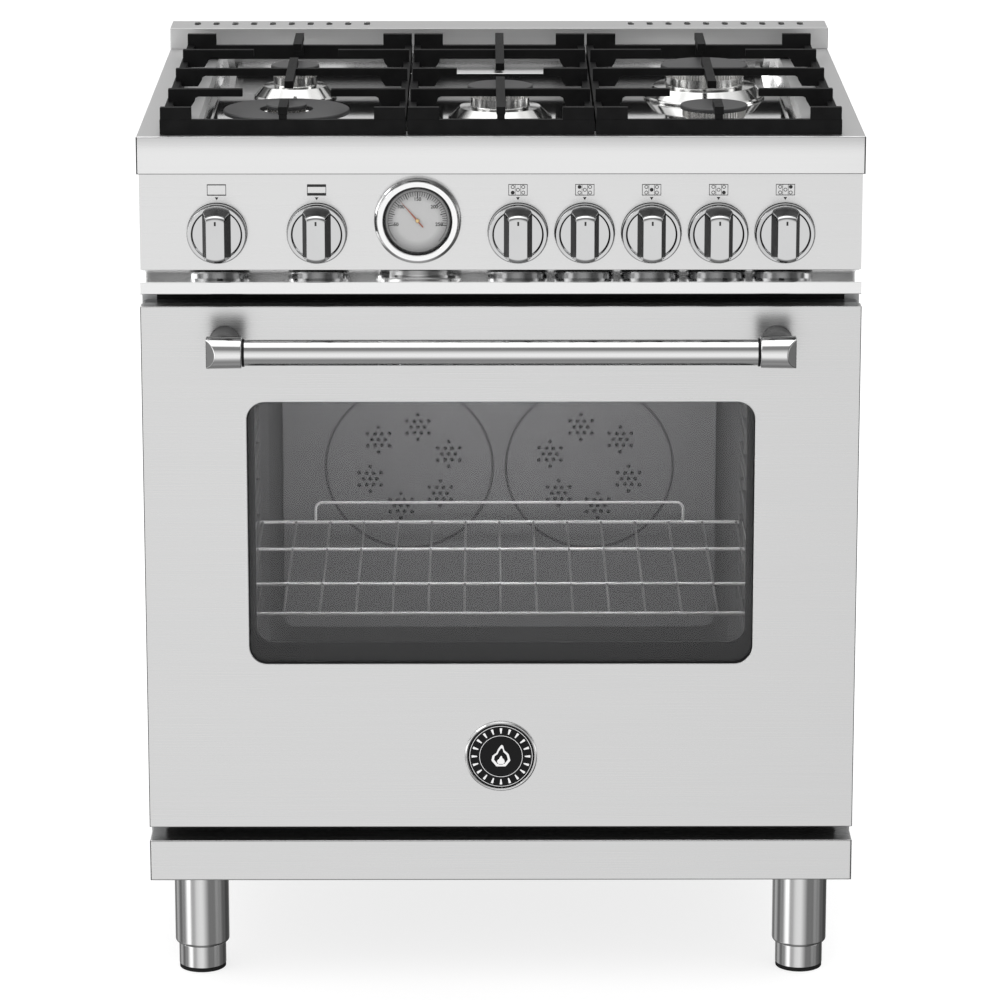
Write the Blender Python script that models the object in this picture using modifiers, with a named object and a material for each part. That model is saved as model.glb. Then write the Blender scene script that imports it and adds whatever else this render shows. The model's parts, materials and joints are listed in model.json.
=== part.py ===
"""Freestanding gas range: five burners on a steel top, a recessed control panel and a drop-down oven door.

Frame: +Z up, the front faces -Y, the origin is on the floor under the middle of the object. Every place is
written as (x, depth, z), where depth is measured back from the front face of the cooktop.
"""

import math

import bmesh
import bpy
from mathutils import Matrix, Vector

# Overall sizes
WIDTH = 0.759
BODY_DEPTH = 0.639
HANDLE_DEPTH = -0.055
POST_RADIUS = 0.0168
FRONT = -(BODY_DEPTH + HANDLE_DEPTH - POST_RADIUS) / 2
GAP = 0.0003
SHEET = 0.0012

# Heights of the front, from the top down
VENT_TOP = 0.955
TOP = 0.931
FASCIA_BOTTOM = 0.8914
PANEL_BOTTOM = 0.7872
LEDGE_TOP = 0.7765
LEDGE_BOTTOM = 0.7637
DOOR_TOP = 0.7509
DOOR_BOTTOM = 0.1784
KICK_TOP = 0.1635
KICK_BOTTOM = 0.118

# Depths of the body behind the front
PANEL_FACE = 0.014
FRAME_FACE = 0.050
TOP_BACK = 0.620
SIDE_X = 0.379
FLANGE_WIDTH = 0.0168
FLANGE_RETURN = 0.012

# Cooktop
BASIN_X = 0.322
BASIN_FRONT = 0.030
BASIN_BACK = 0.560
BASIN_FLOOR = 0.907
BASIN_SLOPE = 0.007
NECK_RADIUS = 0.021
BURNER_BOTTOM = 0.876
# name: x, depth, cap radius, shoulder radius, foot radius, height of the cap's top
BURNERS = {
    "front_left": (-0.2275, 0.127, 0.0672, 0.0560, 0.0600, 0.9390),
    "rear_left": (-0.2280, 0.390, 0.0270, 0.0350, 0.0463, 0.9440),
    "centre": (0.0, 0.250, 0.0355, 0.0440, 0.0565, 0.9440),
    "front_right": (0.2270, 0.127, 0.0360, 0.0345, 0.0380, 0.9436),
    "rear_right": (0.2280, 0.390, 0.0485, 0.0568, 0.0675, 0.9442),
}
BURNER_SHOULDER = TOP - 0.010
CAP_THICKNESS = 0.0045
WOK_RING_HOLE = 0.0280
WOK_INNER_RADIUS = 0.0215
VENT_SLOTS = 10
VENT_SLOT_START = 0.153
VENT_SLOT_PITCH = 0.0218

# Grates
GRATE_TOP = 0.9604
GRATE_FRONT = 0.009
GRATE_BACK = 0.513
GRATE_BAR = 0.008
GRATE_RAIL_TOP = TOP + 0.016
GRATE_CORNER = 0.033
GRATE_SPANS = {"left": (-0.355, -0.099), "centre": (-0.0972, 0.0972), "right": (0.099, 0.355)}
BAR_DEPTHS = (0.127, 0.262, 0.392)
FINGER_GAP = 0.047
BAR_FOOT = 0.028
GRATE_LIFT_CLEARANCE = 0.0005

# Controls
KNOB_HEIGHT = 0.8268
KNOBS = {
    "oven_mode": -0.2970,
    "oven_temperature": -0.1925,
    "front_left": 0.0178,
    "rear_left": 0.0876,
    "centre": 0.1574,
    "front_right": 0.2274,
    "rear_right": 0.2972,
}
KNOB_RADIUS = 0.0315
KNOB_SKIRT = 0.013
KNOB_LENGTH = 0.041
GRIP_HALF_WIDTH = 0.0096
GRIP_TAPER = 0.17
GRIP_ROOT_RADIUS = 0.0285
GRIP_FACE_RADIUS = 0.0205
STEM_RADIUS = 0.004
STEM_LENGTH = 0.056
STEM_MIDDLE = 0.0335
GAUGE = (-0.0871, 0.8408)
GAUGE_RADIUS = 0.04575
DIAL_RADIUS = 0.036
NEEDLE_LENGTH = 0.026
NEEDLE_REST = math.radians(40.6)
PIPE_DEPTH = 0.085
PIPE_RADIUS = 0.010
PIPE_END_X = 0.340

# Oven
CAVITY_X = 0.288
CAVITY_BOTTOM = 0.235
CAVITY_TOP = 0.715
CAVITY_BACK = 0.530
COVER_X = 0.251
COVER_FACE = 0.4975
FAN_X = 0.1045
FAN_HEIGHT = 0.4553
RACK_HEIGHT = 0.3925
RACK_X = 0.2825
RACK_PITCH = 0.0392
RACK_LINES = (0.080, 0.202, 0.352, 0.475)
WIRE = 0.004
GUIDE_LEVELS = 8
GUIDE_PITCH = 0.043
GUIDE_LEVELS_BELOW = 2

# Door
DOOR_X = 0.378
DOOR_DEPTH = 0.044
WINDOW_X = 0.268
WINDOW_BOTTOM = 0.3611
WINDOW_TOP = 0.6477
WINDOW_RADIUS = 0.0195
HINGE_DEPTH = 0.012
HINGE_HEIGHT = 0.190
HINGE_X = 0.328
HANDLE_HEIGHT = 0.7135
HANDLE_RADIUS = 0.0137
POST_INNER_X = 0.2695
POST_MITRE = 0.3135
POST_OUTER_X = 0.3065
BADGE_HEIGHT = 0.2585
BADGE_RADIUS = 0.039

# Legs
LEG_X = 0.3265
LEG_DEPTHS = {"front": 0.060, "rear": 0.560}
LEG_RADIUS = 0.0295
LEG_BOTTOM = 0.030
FOOT_RADIUS = 0.02565
FOOT_STEM_RADIUS = 0.016

# Finishes: colour, metallic, roughness
FINISHES = {
    "brushed_steel": ((0.66, 0.66, 0.65), 1.0, 0.32),
    "chrome": ((0.80, 0.80, 0.80), 1.0, 0.06),
    "cast_iron": ((0.018, 0.018, 0.019), 0.0, 0.6),
    "enamel": ((0.045, 0.045, 0.048), 0.0, 0.25),
    "galvanised": ((0.50, 0.51, 0.52), 1.0, 0.45),
    "brass": ((0.70, 0.52, 0.25), 1.0, 0.30),
    "glass": ((0.08, 0.08, 0.085), 0.0, 0.04),
    "black_paint": ((0.02, 0.02, 0.02), 0.0, 0.5),
    "red_paint": ((0.45, 0.12, 0.08), 0.0, 0.4),
}

SMOOTH_ANGLE = math.radians(35)
MERGE = 0.00001
TO_FRONT = (math.pi / 2, 0, 0)
ACROSS = (0, math.pi / 2, 0)


# Building blocks


def place(x, depth, z):
    """The world point at this width, depth behind the front and height."""
    return Vector((x, FRONT + depth, z))


def make_collection(name):
    collection = bpy.data.collections.new(name)
    bpy.context.scene.collection.children.link(collection)
    return collection


def make_material(name, finish):
    colour, metallic, roughness = FINISHES[finish]
    material = bpy.data.materials.new(name)
    material.use_nodes = True
    shader = material.node_tree.nodes["Principled BSDF"]
    shader.inputs["Base Color"].default_value = (*colour, 1)
    shader.inputs["Metallic"].default_value = metallic
    shader.inputs["Roughness"].default_value = roughness
    return material


def add_part(name, mesh, finish, origin=(0, 0, 0), rotation=(0, 0, 0)):
    """Make a node of the range from a mesh given about its origin."""
    obj = bpy.data.objects.new(name, mesh)
    obj.location = origin
    obj.rotation_euler = rotation
    bpy.data.collections["gas_range"].objects.link(obj)
    if not mesh.materials:
        mesh.materials.append(make_material(name, finish))
    mesh.set_sharp_from_angle(angle=SMOOTH_ANGLE)
    return obj


def add_guide(name, mesh, origin=(0, 0, 0), rotation=(0, 0, 0)):
    """Make an object that only cuts or joins others."""
    obj = bpy.data.objects.new(name, mesh)
    obj.location = origin
    obj.rotation_euler = rotation
    obj.hide_render = True
    obj.display_type = "WIRE"
    bpy.data.collections["cutters"].objects.link(obj)
    return obj


def to_mesh(bm, name):
    mesh = bpy.data.meshes.new(name)
    bm.to_mesh(mesh)
    bm.free()
    return mesh


def box_into(bm, low, high):
    """Add a box between two corners to a bmesh."""
    size = [b - a for a, b in zip(low, high, strict=True)]
    centre = [(a + b) / 2 for a, b in zip(low, high, strict=True)]
    matrix = Matrix.Translation(centre) @ Matrix.Diagonal((*size, 1))
    return bmesh.ops.create_cube(bm, size=1, matrix=matrix)["verts"]


def box_mesh(name, low, high, origin=(0, 0, 0), bevel=0, segments=2, along=None):
    """A box between two (x, depth, z) corners, with its edges, or those along one axis, rounded."""
    bm = bmesh.new()
    box_into(bm, place(*low) - Vector(origin), place(*high) - Vector(origin))
    if bevel:
        edges = bm.edges[:]
        if along is not None:
            edges = [e for e in edges if abs((e.verts[0].co - e.verts[1].co)[along]) > MERGE]
        bmesh.ops.bevel(bm, geom=edges, offset=bevel, segments=segments, affect="EDGES", profile=0.5)
    return to_mesh(bm, name)


def boxes_mesh(name, boxes):
    """Several separate boxes in one mesh, for a guide that cuts or joins them all."""
    bm = bmesh.new()
    for low, high in boxes:
        box_into(bm, place(*low), place(*high))
    return to_mesh(bm, name)


def cylinder_into(bm, centre, radius, length, rotation=(0, 0, 0), segments=24):
    """Add a closed cylinder, standing along the rotated Z axis, to a bmesh."""
    turn = Matrix.Rotation(rotation[0], 4, "X") @ Matrix.Rotation(rotation[1], 4, "Y")
    bmesh.ops.create_cone(
        bm,
        cap_ends=True,
        segments=segments,
        radius1=radius,
        radius2=radius,
        depth=length,
        matrix=Matrix.Translation(centre) @ turn,
    )


def cylinders_mesh(name, centres, radius, length, rotation=(0, 0, 0), segments=24):
    bm = bmesh.new()
    for centre in centres:
        cylinder_into(bm, place(*centre), radius, length, rotation, segments)
    return to_mesh(bm, name)


def solidify(obj, thickness, offset):
    modifier = obj.modifiers.new("thickness", "SOLIDIFY")
    modifier.thickness = thickness
    modifier.offset = offset
    modifier.use_even_offset = True


def boolean(obj, other, operation):
    modifier = obj.modifiers.new(operation.lower(), "BOOLEAN")
    modifier.operation = operation
    modifier.object = other


def cut(obj, mesh):
    boolean(obj, add_guide(obj.name + "_cut", mesh), "DIFFERENCE")


def join(obj, mesh):
    boolean(obj, add_guide(obj.name + "_join", mesh), "UNION")


def shell(name, low, high, open_side, finish, thickness=SHEET, bevel=0, origin=(0, 0, 0)):
    """A folded sheet box that is open on one side, given as (axis, sign). Its skin grows inwards."""
    axis, sign = open_side
    bm = bmesh.new()
    box_into(bm, place(*low) - Vector(origin), place(*high) - Vector(origin))
    bmesh.ops.delete(bm, geom=[f for f in bm.faces if f.normal[axis] * sign > 0.5], context="FACES_ONLY")
    if bevel:
        edges = [e for e in bm.edges if not e.is_boundary]
        bmesh.ops.bevel(bm, geom=edges, offset=bevel, segments=2, affect="EDGES", profile=0.5)
    obj = add_part(name, to_mesh(bm, name), finish, origin)
    solidify(obj, thickness, -1)
    return obj


def folded_sheet(name, points, low, high, axis, finish):
    """A sheet folded along a line of points and running straight from low to high along one axis.

    Points are (x, depth) for axis 2 and (depth, z) for axis 0; they lie in the middle of the sheet.
    """
    bm = bmesh.new()
    rows = []
    for end in (low, high):
        if axis == 2:
            rows.append([bm.verts.new(place(a, b, end)) for a, b in points])
        else:
            rows.append([bm.verts.new(place(end, a, b)) for a, b in points])
    for i in range(len(points) - 1):
        bm.faces.new((rows[0][i], rows[0][i + 1], rows[1][i + 1], rows[1][i]))
    obj = add_part(name, to_mesh(bm, name), finish)
    solidify(obj, SHEET, 0)
    return obj


def turned_mesh(name, profile, steps):
    """A solid of revolution about Z from a profile of (radius, height), top to bottom, as a mesh."""
    mesh = bpy.data.meshes.new(name)
    closed = profile[0][0] > 0
    count = len(profile)
    edges = [(i, i + 1) for i in range(count - 1)]
    if closed:
        edges.append((count - 1, 0))
    mesh.from_pydata([(radius, 0, height) for radius, height in profile], edges, [])
    obj = bpy.data.objects.new(name, mesh)
    bpy.context.scene.collection.objects.link(obj)
    screw = obj.modifiers.new("turn", "SCREW")
    screw.steps = steps
    screw.render_steps = steps
    screw.use_merge_vertices = True
    screw.merge_threshold = MERGE
    return bake(obj)


def bake(obj):
    """Replace a helper object by its evaluated mesh, and return the mesh."""
    evaluated = obj.evaluated_get(bpy.context.evaluated_depsgraph_get())
    mesh = bpy.data.meshes.new_from_object(evaluated)
    bpy.data.objects.remove(obj)
    return mesh


def turned(name, profile, finish, origin, rotation=(0, 0, 0), steps=32):
    """A turned node whose axis passes through its origin."""
    return add_part(name, turned_mesh(name, profile, steps), finish, origin, rotation)


def outline_mesh(name, outlines, thickness):
    """A flat plate in local X-Y from its outline and its holes, thickness along local Z."""
    curve = bpy.data.curves.new(name, "CURVE")
    curve.dimensions = "2D"
    curve.fill_mode = "BOTH"
    curve.extrude = thickness / 2
    for points in outlines:
        spline = curve.splines.new("POLY")
        spline.points.add(len(points) - 1)
        for point, (x, y) in zip(spline.points, points, strict=True):
            point.co = (x, y, 0, 1)
        spline.use_cyclic_u = True
    return bake_curve(name, curve)


def bake_curve(name, curve):
    obj = bpy.data.objects.new(name, curve)
    bpy.context.scene.collection.objects.link(obj)
    mesh = bake(obj)
    bm = bmesh.new()
    bm.from_mesh(mesh)
    bmesh.ops.remove_doubles(bm, verts=bm.verts[:], dist=MERGE)
    bm.to_mesh(mesh)
    bm.free()
    return mesh


def tube_mesh(name, routes, radius):
    """Round tubes with filled ends along lists of (x, depth, z) points."""
    curve = bpy.data.curves.new(name, "CURVE")
    curve.dimensions = "3D"
    curve.bevel_depth = radius
    curve.bevel_resolution = 1
    curve.use_fill_caps = True
    for route in routes:
        spline = curve.splines.new("POLY")
        spline.points.add(len(route) - 1)
        for point, target in zip(spline.points, route, strict=True):
            point.co = (*place(*target), 1)
    return bake_curve(name, curve)


def round_rectangle(half_x, low, high, radius, steps=5):
    """Points of a rectangle with round corners, from -half_x to half_x and from low to high."""
    points = []
    corners = ((half_x, high, 0), (-half_x, high, 90), (-half_x, low, 180), (half_x, low, 270))
    for x, y, start in corners:
        centre_x = x - math.copysign(radius, x)
        centre_y = y - radius if y == high else y + radius
        for i in range(steps + 1):
            angle = math.radians(start + 90 * i / steps)
            points.append((centre_x + radius * math.cos(angle), centre_y + radius * math.sin(angle)))
    return points


def upright(mesh, depth):
    """Stand a flat plate up so that it faces the front, centred on this depth."""
    mesh.transform(Matrix.Translation((0, FRONT + depth, 0)) @ Matrix.Rotation(math.pi / 2, 4, "X"))
    return mesh


def window_cutter(name, half_x, low, high, radius, front, back):
    """A round-cornered block that cuts a window through everything between two depths."""
    outline = round_rectangle(half_x, low, high, radius)
    return upright(outline_mesh(name, [outline], back - front), (front + back) / 2)


# Casing


def side_panels():
    front = FRAME_FACE + SHEET / 2
    outer = SIDE_X - SHEET / 2
    for name, side in (("left", -1), ("right", 1)):
        points = [
            (side * (outer - FLANGE_WIDTH), front + FLANGE_RETURN),
            (side * (outer - FLANGE_WIDTH), front),
            (side * outer, front),
            (side * outer, TOP_BACK - 0.0025),
        ]
        folded_sheet("side_panel_" + name, points, KICK_BOTTOM, FASCIA_BOTTOM - GAP, 2, "galvanised")


def back_panel():
    half = SIDE_X - 0.003
    rear = TOP_BACK - 0.0025
    points = [(-half, rear - 0.020), (-half, rear), (half, rear), (half, rear - 0.020)]
    panel = folded_sheet("back_panel", points, KICK_TOP, FASCIA_BOTTOM - GAP, 2, "galvanised")
    hole = cylinders_mesh("inlet_hole", [(PIPE_END_X, rear, KNOB_HEIGHT)], PIPE_RADIUS + 0.003, 0.03, TO_FRONT)
    cut(panel, hole)


def base_frame():
    half = SIDE_X - 0.0018
    low = (-half, FRAME_FACE + FLANGE_RETURN + 0.0015, KICK_BOTTOM + 0.0005)
    shell("base_frame", low, (half, TOP_BACK - 0.0035, KICK_TOP - 0.001), (2, 1), "galvanised", 0.002)


def kick_panel():
    low = (-DOOR_X, 0, KICK_BOTTOM)
    shell("kick_panel", low, (DOOR_X, FRAME_FACE - GAP, KICK_TOP), (1, 1), "brushed_steel", SHEET, 0.0015)


def legs():
    sleeve = [
        (0, KICK_BOTTOM - GAP),
        (LEG_RADIUS, KICK_BOTTOM - GAP),
        (LEG_RADIUS, LEG_BOTTOM + 0.005),
        (LEG_RADIUS - 0.0012, LEG_BOTTOM + 0.0018),
        (LEG_RADIUS - 0.0034, LEG_BOTTOM),
        (FOOT_STEM_RADIUS + 0.0005, LEG_BOTTOM),
        (FOOT_STEM_RADIUS + 0.0005, LEG_BOTTOM + 0.003),
        (LEG_RADIUS - 0.002, LEG_BOTTOM + 0.005),
        (LEG_RADIUS - 0.002, KICK_BOTTOM - 0.004),
        (0, KICK_BOTTOM - 0.004),
    ]
    foot = [
        (0, 0.090),
        (FOOT_STEM_RADIUS, 0.090),
        (FOOT_STEM_RADIUS, LEG_BOTTOM - GAP),
        (FOOT_RADIUS, LEG_BOTTOM - GAP),
        (FOOT_RADIUS, 0.0015),
        (FOOT_RADIUS - 0.0015, 0),
        (0, 0),
    ]
    for row, depth in LEG_DEPTHS.items():
        for name, side in (("left", -1), ("right", 1)):
            origin = place(side * LEG_X, depth, 0)
            turned(f"leg_tube_{row}_{name}", sleeve, "brushed_steel", origin, steps=22)
            turned(f"foot_{row}_{name}", foot, "brushed_steel", origin, steps=20)


# Top


def basin_block(name, floor, top, grow):
    """The burner basin as a block with sloping sides; grow widens it all round."""
    bm = bmesh.new()
    low = place(-BASIN_X - grow, BASIN_FRONT - grow, floor)
    high = place(BASIN_X + grow, BASIN_BACK + grow, top)
    box_into(bm, low, high)
    for vert in bm.verts:
        if abs(vert.co.z - floor) < MERGE:
            middle_y = (low.y + high.y) / 2
            vert.co.x -= math.copysign(BASIN_SLOPE, vert.co.x)
            vert.co.y -= math.copysign(BASIN_SLOPE, vert.co.y - middle_y)
    corners = [e for e in bm.edges if abs((e.verts[0].co - e.verts[1].co).z) > MERGE]
    bmesh.ops.bevel(bm, geom=corners, offset=0.022, segments=4, affect="EDGES", profile=0.5)
    return to_mesh(bm, name)


def cooktop():
    low = (-WIDTH / 2, 0, FASCIA_BOTTOM)
    top = shell("cooktop", low, (WIDTH / 2, TOP_BACK, TOP), (2, -1), "brushed_steel", SHEET, 0.0015)
    join(top, basin_block("basin_outside", BASIN_FLOOR - SHEET, TOP - SHEET / 2, SHEET))
    cut(top, basin_block("basin_inside", BASIN_FLOOR, TOP + 0.010, 0))
    centres = [(x, depth, BASIN_FLOOR) for x, depth, *_ in BURNERS.values()]
    cut(top, cylinders_mesh("burner_holes", centres, NECK_RADIUS + 0.0008, 0.02, segments=16))


def vent_trim():
    low = (-WIDTH / 2, 0.582, TOP + GAP)
    trim = shell("vent_trim", low, (WIDTH / 2, BODY_DEPTH, VENT_TOP), (2, -1), "brushed_steel", SHEET, 0.001)
    width, start, end = 0.0071, 0.607, 0.629
    bm = bmesh.new()
    for i in range(VENT_SLOTS):
        for side in (-1, 1):
            x = side * (VENT_SLOT_START + i * VENT_SLOT_PITCH)
            slot = box_into(bm, place(x - width / 2, start, VENT_TOP - 0.005), place(x + width / 2, end, 0.96))
            found = {e for v in slot for e in v.link_edges}
            edges = [e for e in found if abs((e.verts[0].co - e.verts[1].co).z) > MERGE]
            bmesh.ops.bevel(bm, geom=edges, offset=width * 0.35, segments=1, affect="EDGES")
    cut(trim, to_mesh(bm, "vent_slots"))


def burner_profile(name, cap_radius, shoulder_radius, foot_radius, cap_top):
    """Half section of a burner body: a crown under the cap, a flared skirt and a neck through the top."""
    crown = cap_top - CAP_THICKNESS - GAP
    crown_radius = min(cap_radius * 0.9, shoulder_radius - 0.0015)
    profile = [(0, crown), (crown_radius, crown)]
    if name == "front_left":
        inner = cap_top - CAP_THICKNESS + 0.0005
        profile = [(0, inner), (0.019, inner), (0.019, crown - 0.003), (0.031, crown - 0.003), (0.031, crown)]
        profile.append((crown_radius, crown))
    profile += [
        (crown_radius, BURNER_SHOULDER + 0.001),
        (shoulder_radius, BURNER_SHOULDER),
        (foot_radius, BASIN_FLOOR + 0.0020),
        (foot_radius, BASIN_FLOOR + GAP),
        (NECK_RADIUS, BASIN_FLOOR + GAP),
        (NECK_RADIUS, BURNER_BOTTOM + 0.008),
        (NECK_RADIUS - 0.006, BURNER_BOTTOM),
        (0, BURNER_BOTTOM),
    ]
    return profile


def disc_profile(radius, top, thickness, edge=0.0015):
    return [(0, top), (radius - edge, top), (radius, top - edge), (radius, top - thickness), (0, top - thickness)]


def burners():
    for name, (x, depth, cap_radius, shoulder_radius, foot_radius, cap_top) in BURNERS.items():
        origin = place(x, depth, 0)
        profile = burner_profile(name, cap_radius, shoulder_radius, foot_radius, cap_top)
        turned("burner_" + name, profile, "chrome", origin, steps=22)
        cap = disc_profile(cap_radius, cap_top, CAP_THICKNESS)
        if name == "front_left":
            cap = [(WOK_RING_HOLE, cap_top), *cap[1:-1], (WOK_RING_HOLE, cap_top - CAP_THICKNESS)]
            inner = disc_profile(WOK_INNER_RADIUS, cap_top + 0.0053, CAP_THICKNESS)
            turned("cap_wok_inner", inner, "black_paint", origin, steps=20)
        turned("cap_" + name, cap, "black_paint", origin, steps=24)


def bar_outline(root, tip, root_height):
    """Side view of a grate bar that runs from its foot on the rail to its tip, along (distance, height)."""
    way = math.copysign(1, tip - root)
    under = GRATE_TOP - GRATE_BAR
    return [
        (root, root_height),
        (root, GRATE_TOP),
        (tip, GRATE_TOP),
        (tip, under),
        (root + way * (BAR_FOOT + 0.004), under),
        (root + way * (BAR_FOOT + 0.001), under - 0.0015),
        (root + way * BAR_FOOT, under - 0.005),
        (root + way * (BAR_FOOT - 0.004), root_height),
    ]


def long_bar_outline(start, end, root_height):
    """Side view of a grate bar with a foot at both ends."""
    first = bar_outline(start, (start + end) / 2, root_height)
    second = bar_outline(end, (start + end) / 2, root_height)
    return [*first[:2], *second[1::-1], *second[:3:-1], *first[4:]]


def cross_bars(name, low_x, high_x):
    """Bars that run from side to side: full ones, and pairs of short fingers about the burners."""
    centre = (low_x + high_x) / 2
    foot = TOP + 0.010
    whole = (BAR_DEPTHS[1],) if name != "centre" else (BAR_DEPTHS[0], BAR_DEPTHS[2])
    inset = GRATE_BAR / 4
    bars = []
    for depth in BAR_DEPTHS:
        if depth in whole:
            bars.append((depth, long_bar_outline(low_x + inset, high_x - inset, foot)))
        else:
            bars.append((depth, bar_outline(low_x + inset, centre - FINGER_GAP, foot)))
            bars.append((depth, bar_outline(high_x - inset, centre + FINGER_GAP, foot)))
    bm = bmesh.new()
    for depth, outline in bars:
        bm.from_mesh(upright(outline_mesh("bar", [outline], GRATE_BAR), depth))
    return to_mesh(bm, "cross_bars")


def finger_runs(name):
    """Start and end depths of the bars that run from front to back."""
    if name == "centre":
        return ((GRATE_FRONT, 0.206), (GRATE_BACK, 0.294))
    return ((GRATE_FRONT, 0.062), (0.175, 0.336), (GRATE_BACK, 0.430))


def long_fingers(name, centre):
    """Bars that run from front to back along the middle of a grate."""
    bm = bmesh.new()
    width = 0.0095
    for start, end in finger_runs(name):
        edge = start in (GRATE_FRONT, GRATE_BACK)
        way = 1 if end > start else -1
        low = min(start, end) + (0.001 if edge and way > 0 else 0)
        high = max(start, end) - (0.001 if edge and way < 0 else 0)
        under = GRATE_TOP - GRATE_BAR
        box_into(bm, place(centre - width / 2, low, under), place(centre + width / 2, high, GRATE_TOP))
    return to_mesh(bm, "long_fingers")


def finger_roots(name, centre):
    """Uprights that carry the long fingers on the front and back rails."""
    half = 0.0040
    low, high = TOP + 0.006, GRATE_TOP - 0.002
    spans = [(GRATE_FRONT + 0.0015, GRATE_FRONT + 0.014), (GRATE_BACK - 0.014, GRATE_BACK - 0.0015)]
    return boxes_mesh("roots", [((centre - half, a, low), (centre + half, b, high)) for a, b in spans])


def grates():
    base = TOP + GRATE_LIFT_CLEARANCE
    for name, (low_x, high_x) in GRATE_SPANS.items():
        centre = (low_x + high_x) / 2
        origin = place(centre, GRATE_FRONT, base)
        low, high = (low_x, GRATE_FRONT, base), (high_x, GRATE_BACK, GRATE_RAIL_TOP)
        mesh = box_mesh("grate_" + name, low, high, origin)
        grate = add_part("grate_" + name, mesh, "cast_iron", origin)
        bar = GRATE_BAR
        hole = ((low_x + bar, GRATE_FRONT + bar, base - 0.01), (high_x - bar, GRATE_BACK - bar, GRATE_TOP))
        cut(grate, boxes_mesh("inside", [hole]))
        corners = []
        for x in (low_x + 0.0005, high_x - GRATE_CORNER):
            for depth in (GRATE_FRONT + 0.0005, GRATE_BACK - bar - 0.0005):
                top = GRATE_TOP - 0.0005
                block = ((x, depth, base + 0.002), (x + GRATE_CORNER - 0.0005, depth + bar, top))
                corners.append(block)
        join(grate, boxes_mesh("corner_blocks", corners))
        join(grate, cross_bars(name, low_x, high_x))
        join(grate, finger_roots(name, centre))
        join(grate, long_fingers(name, centre))


# Controls


def control_panel():
    low = (-DOOR_X, PANEL_FACE, PANEL_BOTTOM)
    high = (DOOR_X, FRAME_FACE - GAP, BASIN_FLOOR - 0.004)
    panel = shell("control_panel", low, high, (1, 1), "brushed_steel")
    stems = [(x, PANEL_FACE, KNOB_HEIGHT) for x in KNOBS.values()]
    cut(panel, cylinders_mesh("stem_holes", stems, 0.0065, 0.01, TO_FRONT, 10))
    gauge = [(GAUGE[0], PANEL_FACE, GAUGE[1])]
    cut(panel, cylinders_mesh("gauge_hole", gauge, 0.0348, 0.01, TO_FRONT, 24))


def front_ledge():
    half = SHEET / 2
    points = [
        (PANEL_FACE - 0.0008, PANEL_BOTTOM - SHEET),
        (half, LEDGE_TOP - half),
        (half, LEDGE_BOTTOM + half),
        (0.018, LEDGE_BOTTOM + half),
    ]
    folded_sheet("front_ledge", points, -DOOR_X + 0.0005, DOOR_X - 0.0005, 0, "brushed_steel")


def knob_mesh():
    """A turned skirt with a tapered grip bar across it. Its axis is Z, from the panel to the user."""
    skirt = [
        (0, KNOB_SKIRT - 0.002),
        (KNOB_RADIUS - 0.005, KNOB_SKIRT - 0.002),
        (KNOB_RADIUS - 0.003, KNOB_SKIRT),
        (KNOB_RADIUS - 0.0005, KNOB_SKIRT - 0.002),
        (KNOB_RADIUS, KNOB_SKIRT - 0.005),
        (KNOB_RADIUS - 0.001, 0),
        (0, 0),
    ]
    bm = bmesh.new()
    grip_foot = KNOB_SKIRT - 0.006
    bmesh.ops.create_cone(
        bm,
        cap_ends=True,
        segments=40,
        radius1=GRIP_ROOT_RADIUS,
        radius2=GRIP_FACE_RADIUS,
        depth=KNOB_LENGTH - grip_foot,
        matrix=Matrix.Translation((0, 0, (KNOB_LENGTH + grip_foot) / 2)),
    )
    for side in (-1, 1):
        bmesh.ops.bisect_plane(
            bm,
            geom=bm.verts[:] + bm.edges[:] + bm.faces[:],
            plane_co=(side * GRIP_HALF_WIDTH, 0, KNOB_LENGTH),
            plane_no=(side, 0, GRIP_TAPER),
            clear_outer=True,
        )
        bmesh.ops.holes_fill(bm, edges=[e for e in bm.edges if e.is_boundary])
    knob = bpy.data.objects.new("knob", turned_mesh("knob", skirt, 24))
    bpy.context.scene.collection.objects.link(knob)
    boolean(knob, add_guide("grip", to_mesh(bm, "grip")), "UNION")
    bore = bmesh.new()
    cylinder_into(bore, (0, 0, 0), STEM_RADIUS + 0.0005, 0.020, segments=12)
    boolean(knob, add_guide("stem_bore", to_mesh(bore, "stem_bore")), "DIFFERENCE")
    return bake(knob)


def knobs():
    mesh = knob_mesh()
    for name, x in KNOBS.items():
        add_part("knob_" + name, mesh, "chrome", place(x, PANEL_FACE - GAP, KNOB_HEIGHT), TO_FRONT)


def gauge():
    origin = place(GAUGE[0], PANEL_FACE, GAUGE[1])
    dial = 0.007
    bezel = [
        (0, dial),
        (DIAL_RADIUS, dial),
        (DIAL_RADIUS + 0.001, 0.0105),
        (DIAL_RADIUS + 0.004, 0.013),
        (GAUGE_RADIUS - 0.003, 0.011),
        (GAUGE_RADIUS, 0.006),
        (GAUGE_RADIUS, GAP),
        (0.034, GAP),
        (0.034, -0.012),
        (0, -0.012),
    ]
    turned("gauge_case", bezel, "chrome", origin, TO_FRONT, 30)
    outline = [(-0.0022, -0.006), (0.0022, -0.006), (0.0014, 0.010), (0, NEEDLE_LENGTH), (-0.0014, 0.010)]
    pivot = place(GAUGE[0], PANEL_FACE - dial - 0.0016, GAUGE[1])
    mesh = outline_mesh("gauge_needle", [outline], 0.0006)
    mesh.transform(Matrix.Rotation(NEEDLE_REST, 4, "Z"))
    needle = add_part("gauge_needle", mesh, "red_paint", pivot, TO_FRONT)
    hub = bmesh.new()
    cylinder_into(hub, pivot, 0.0034, 0.0018, TO_FRONT, 16)
    join(needle, to_mesh(hub, "needle_hub"))


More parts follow.
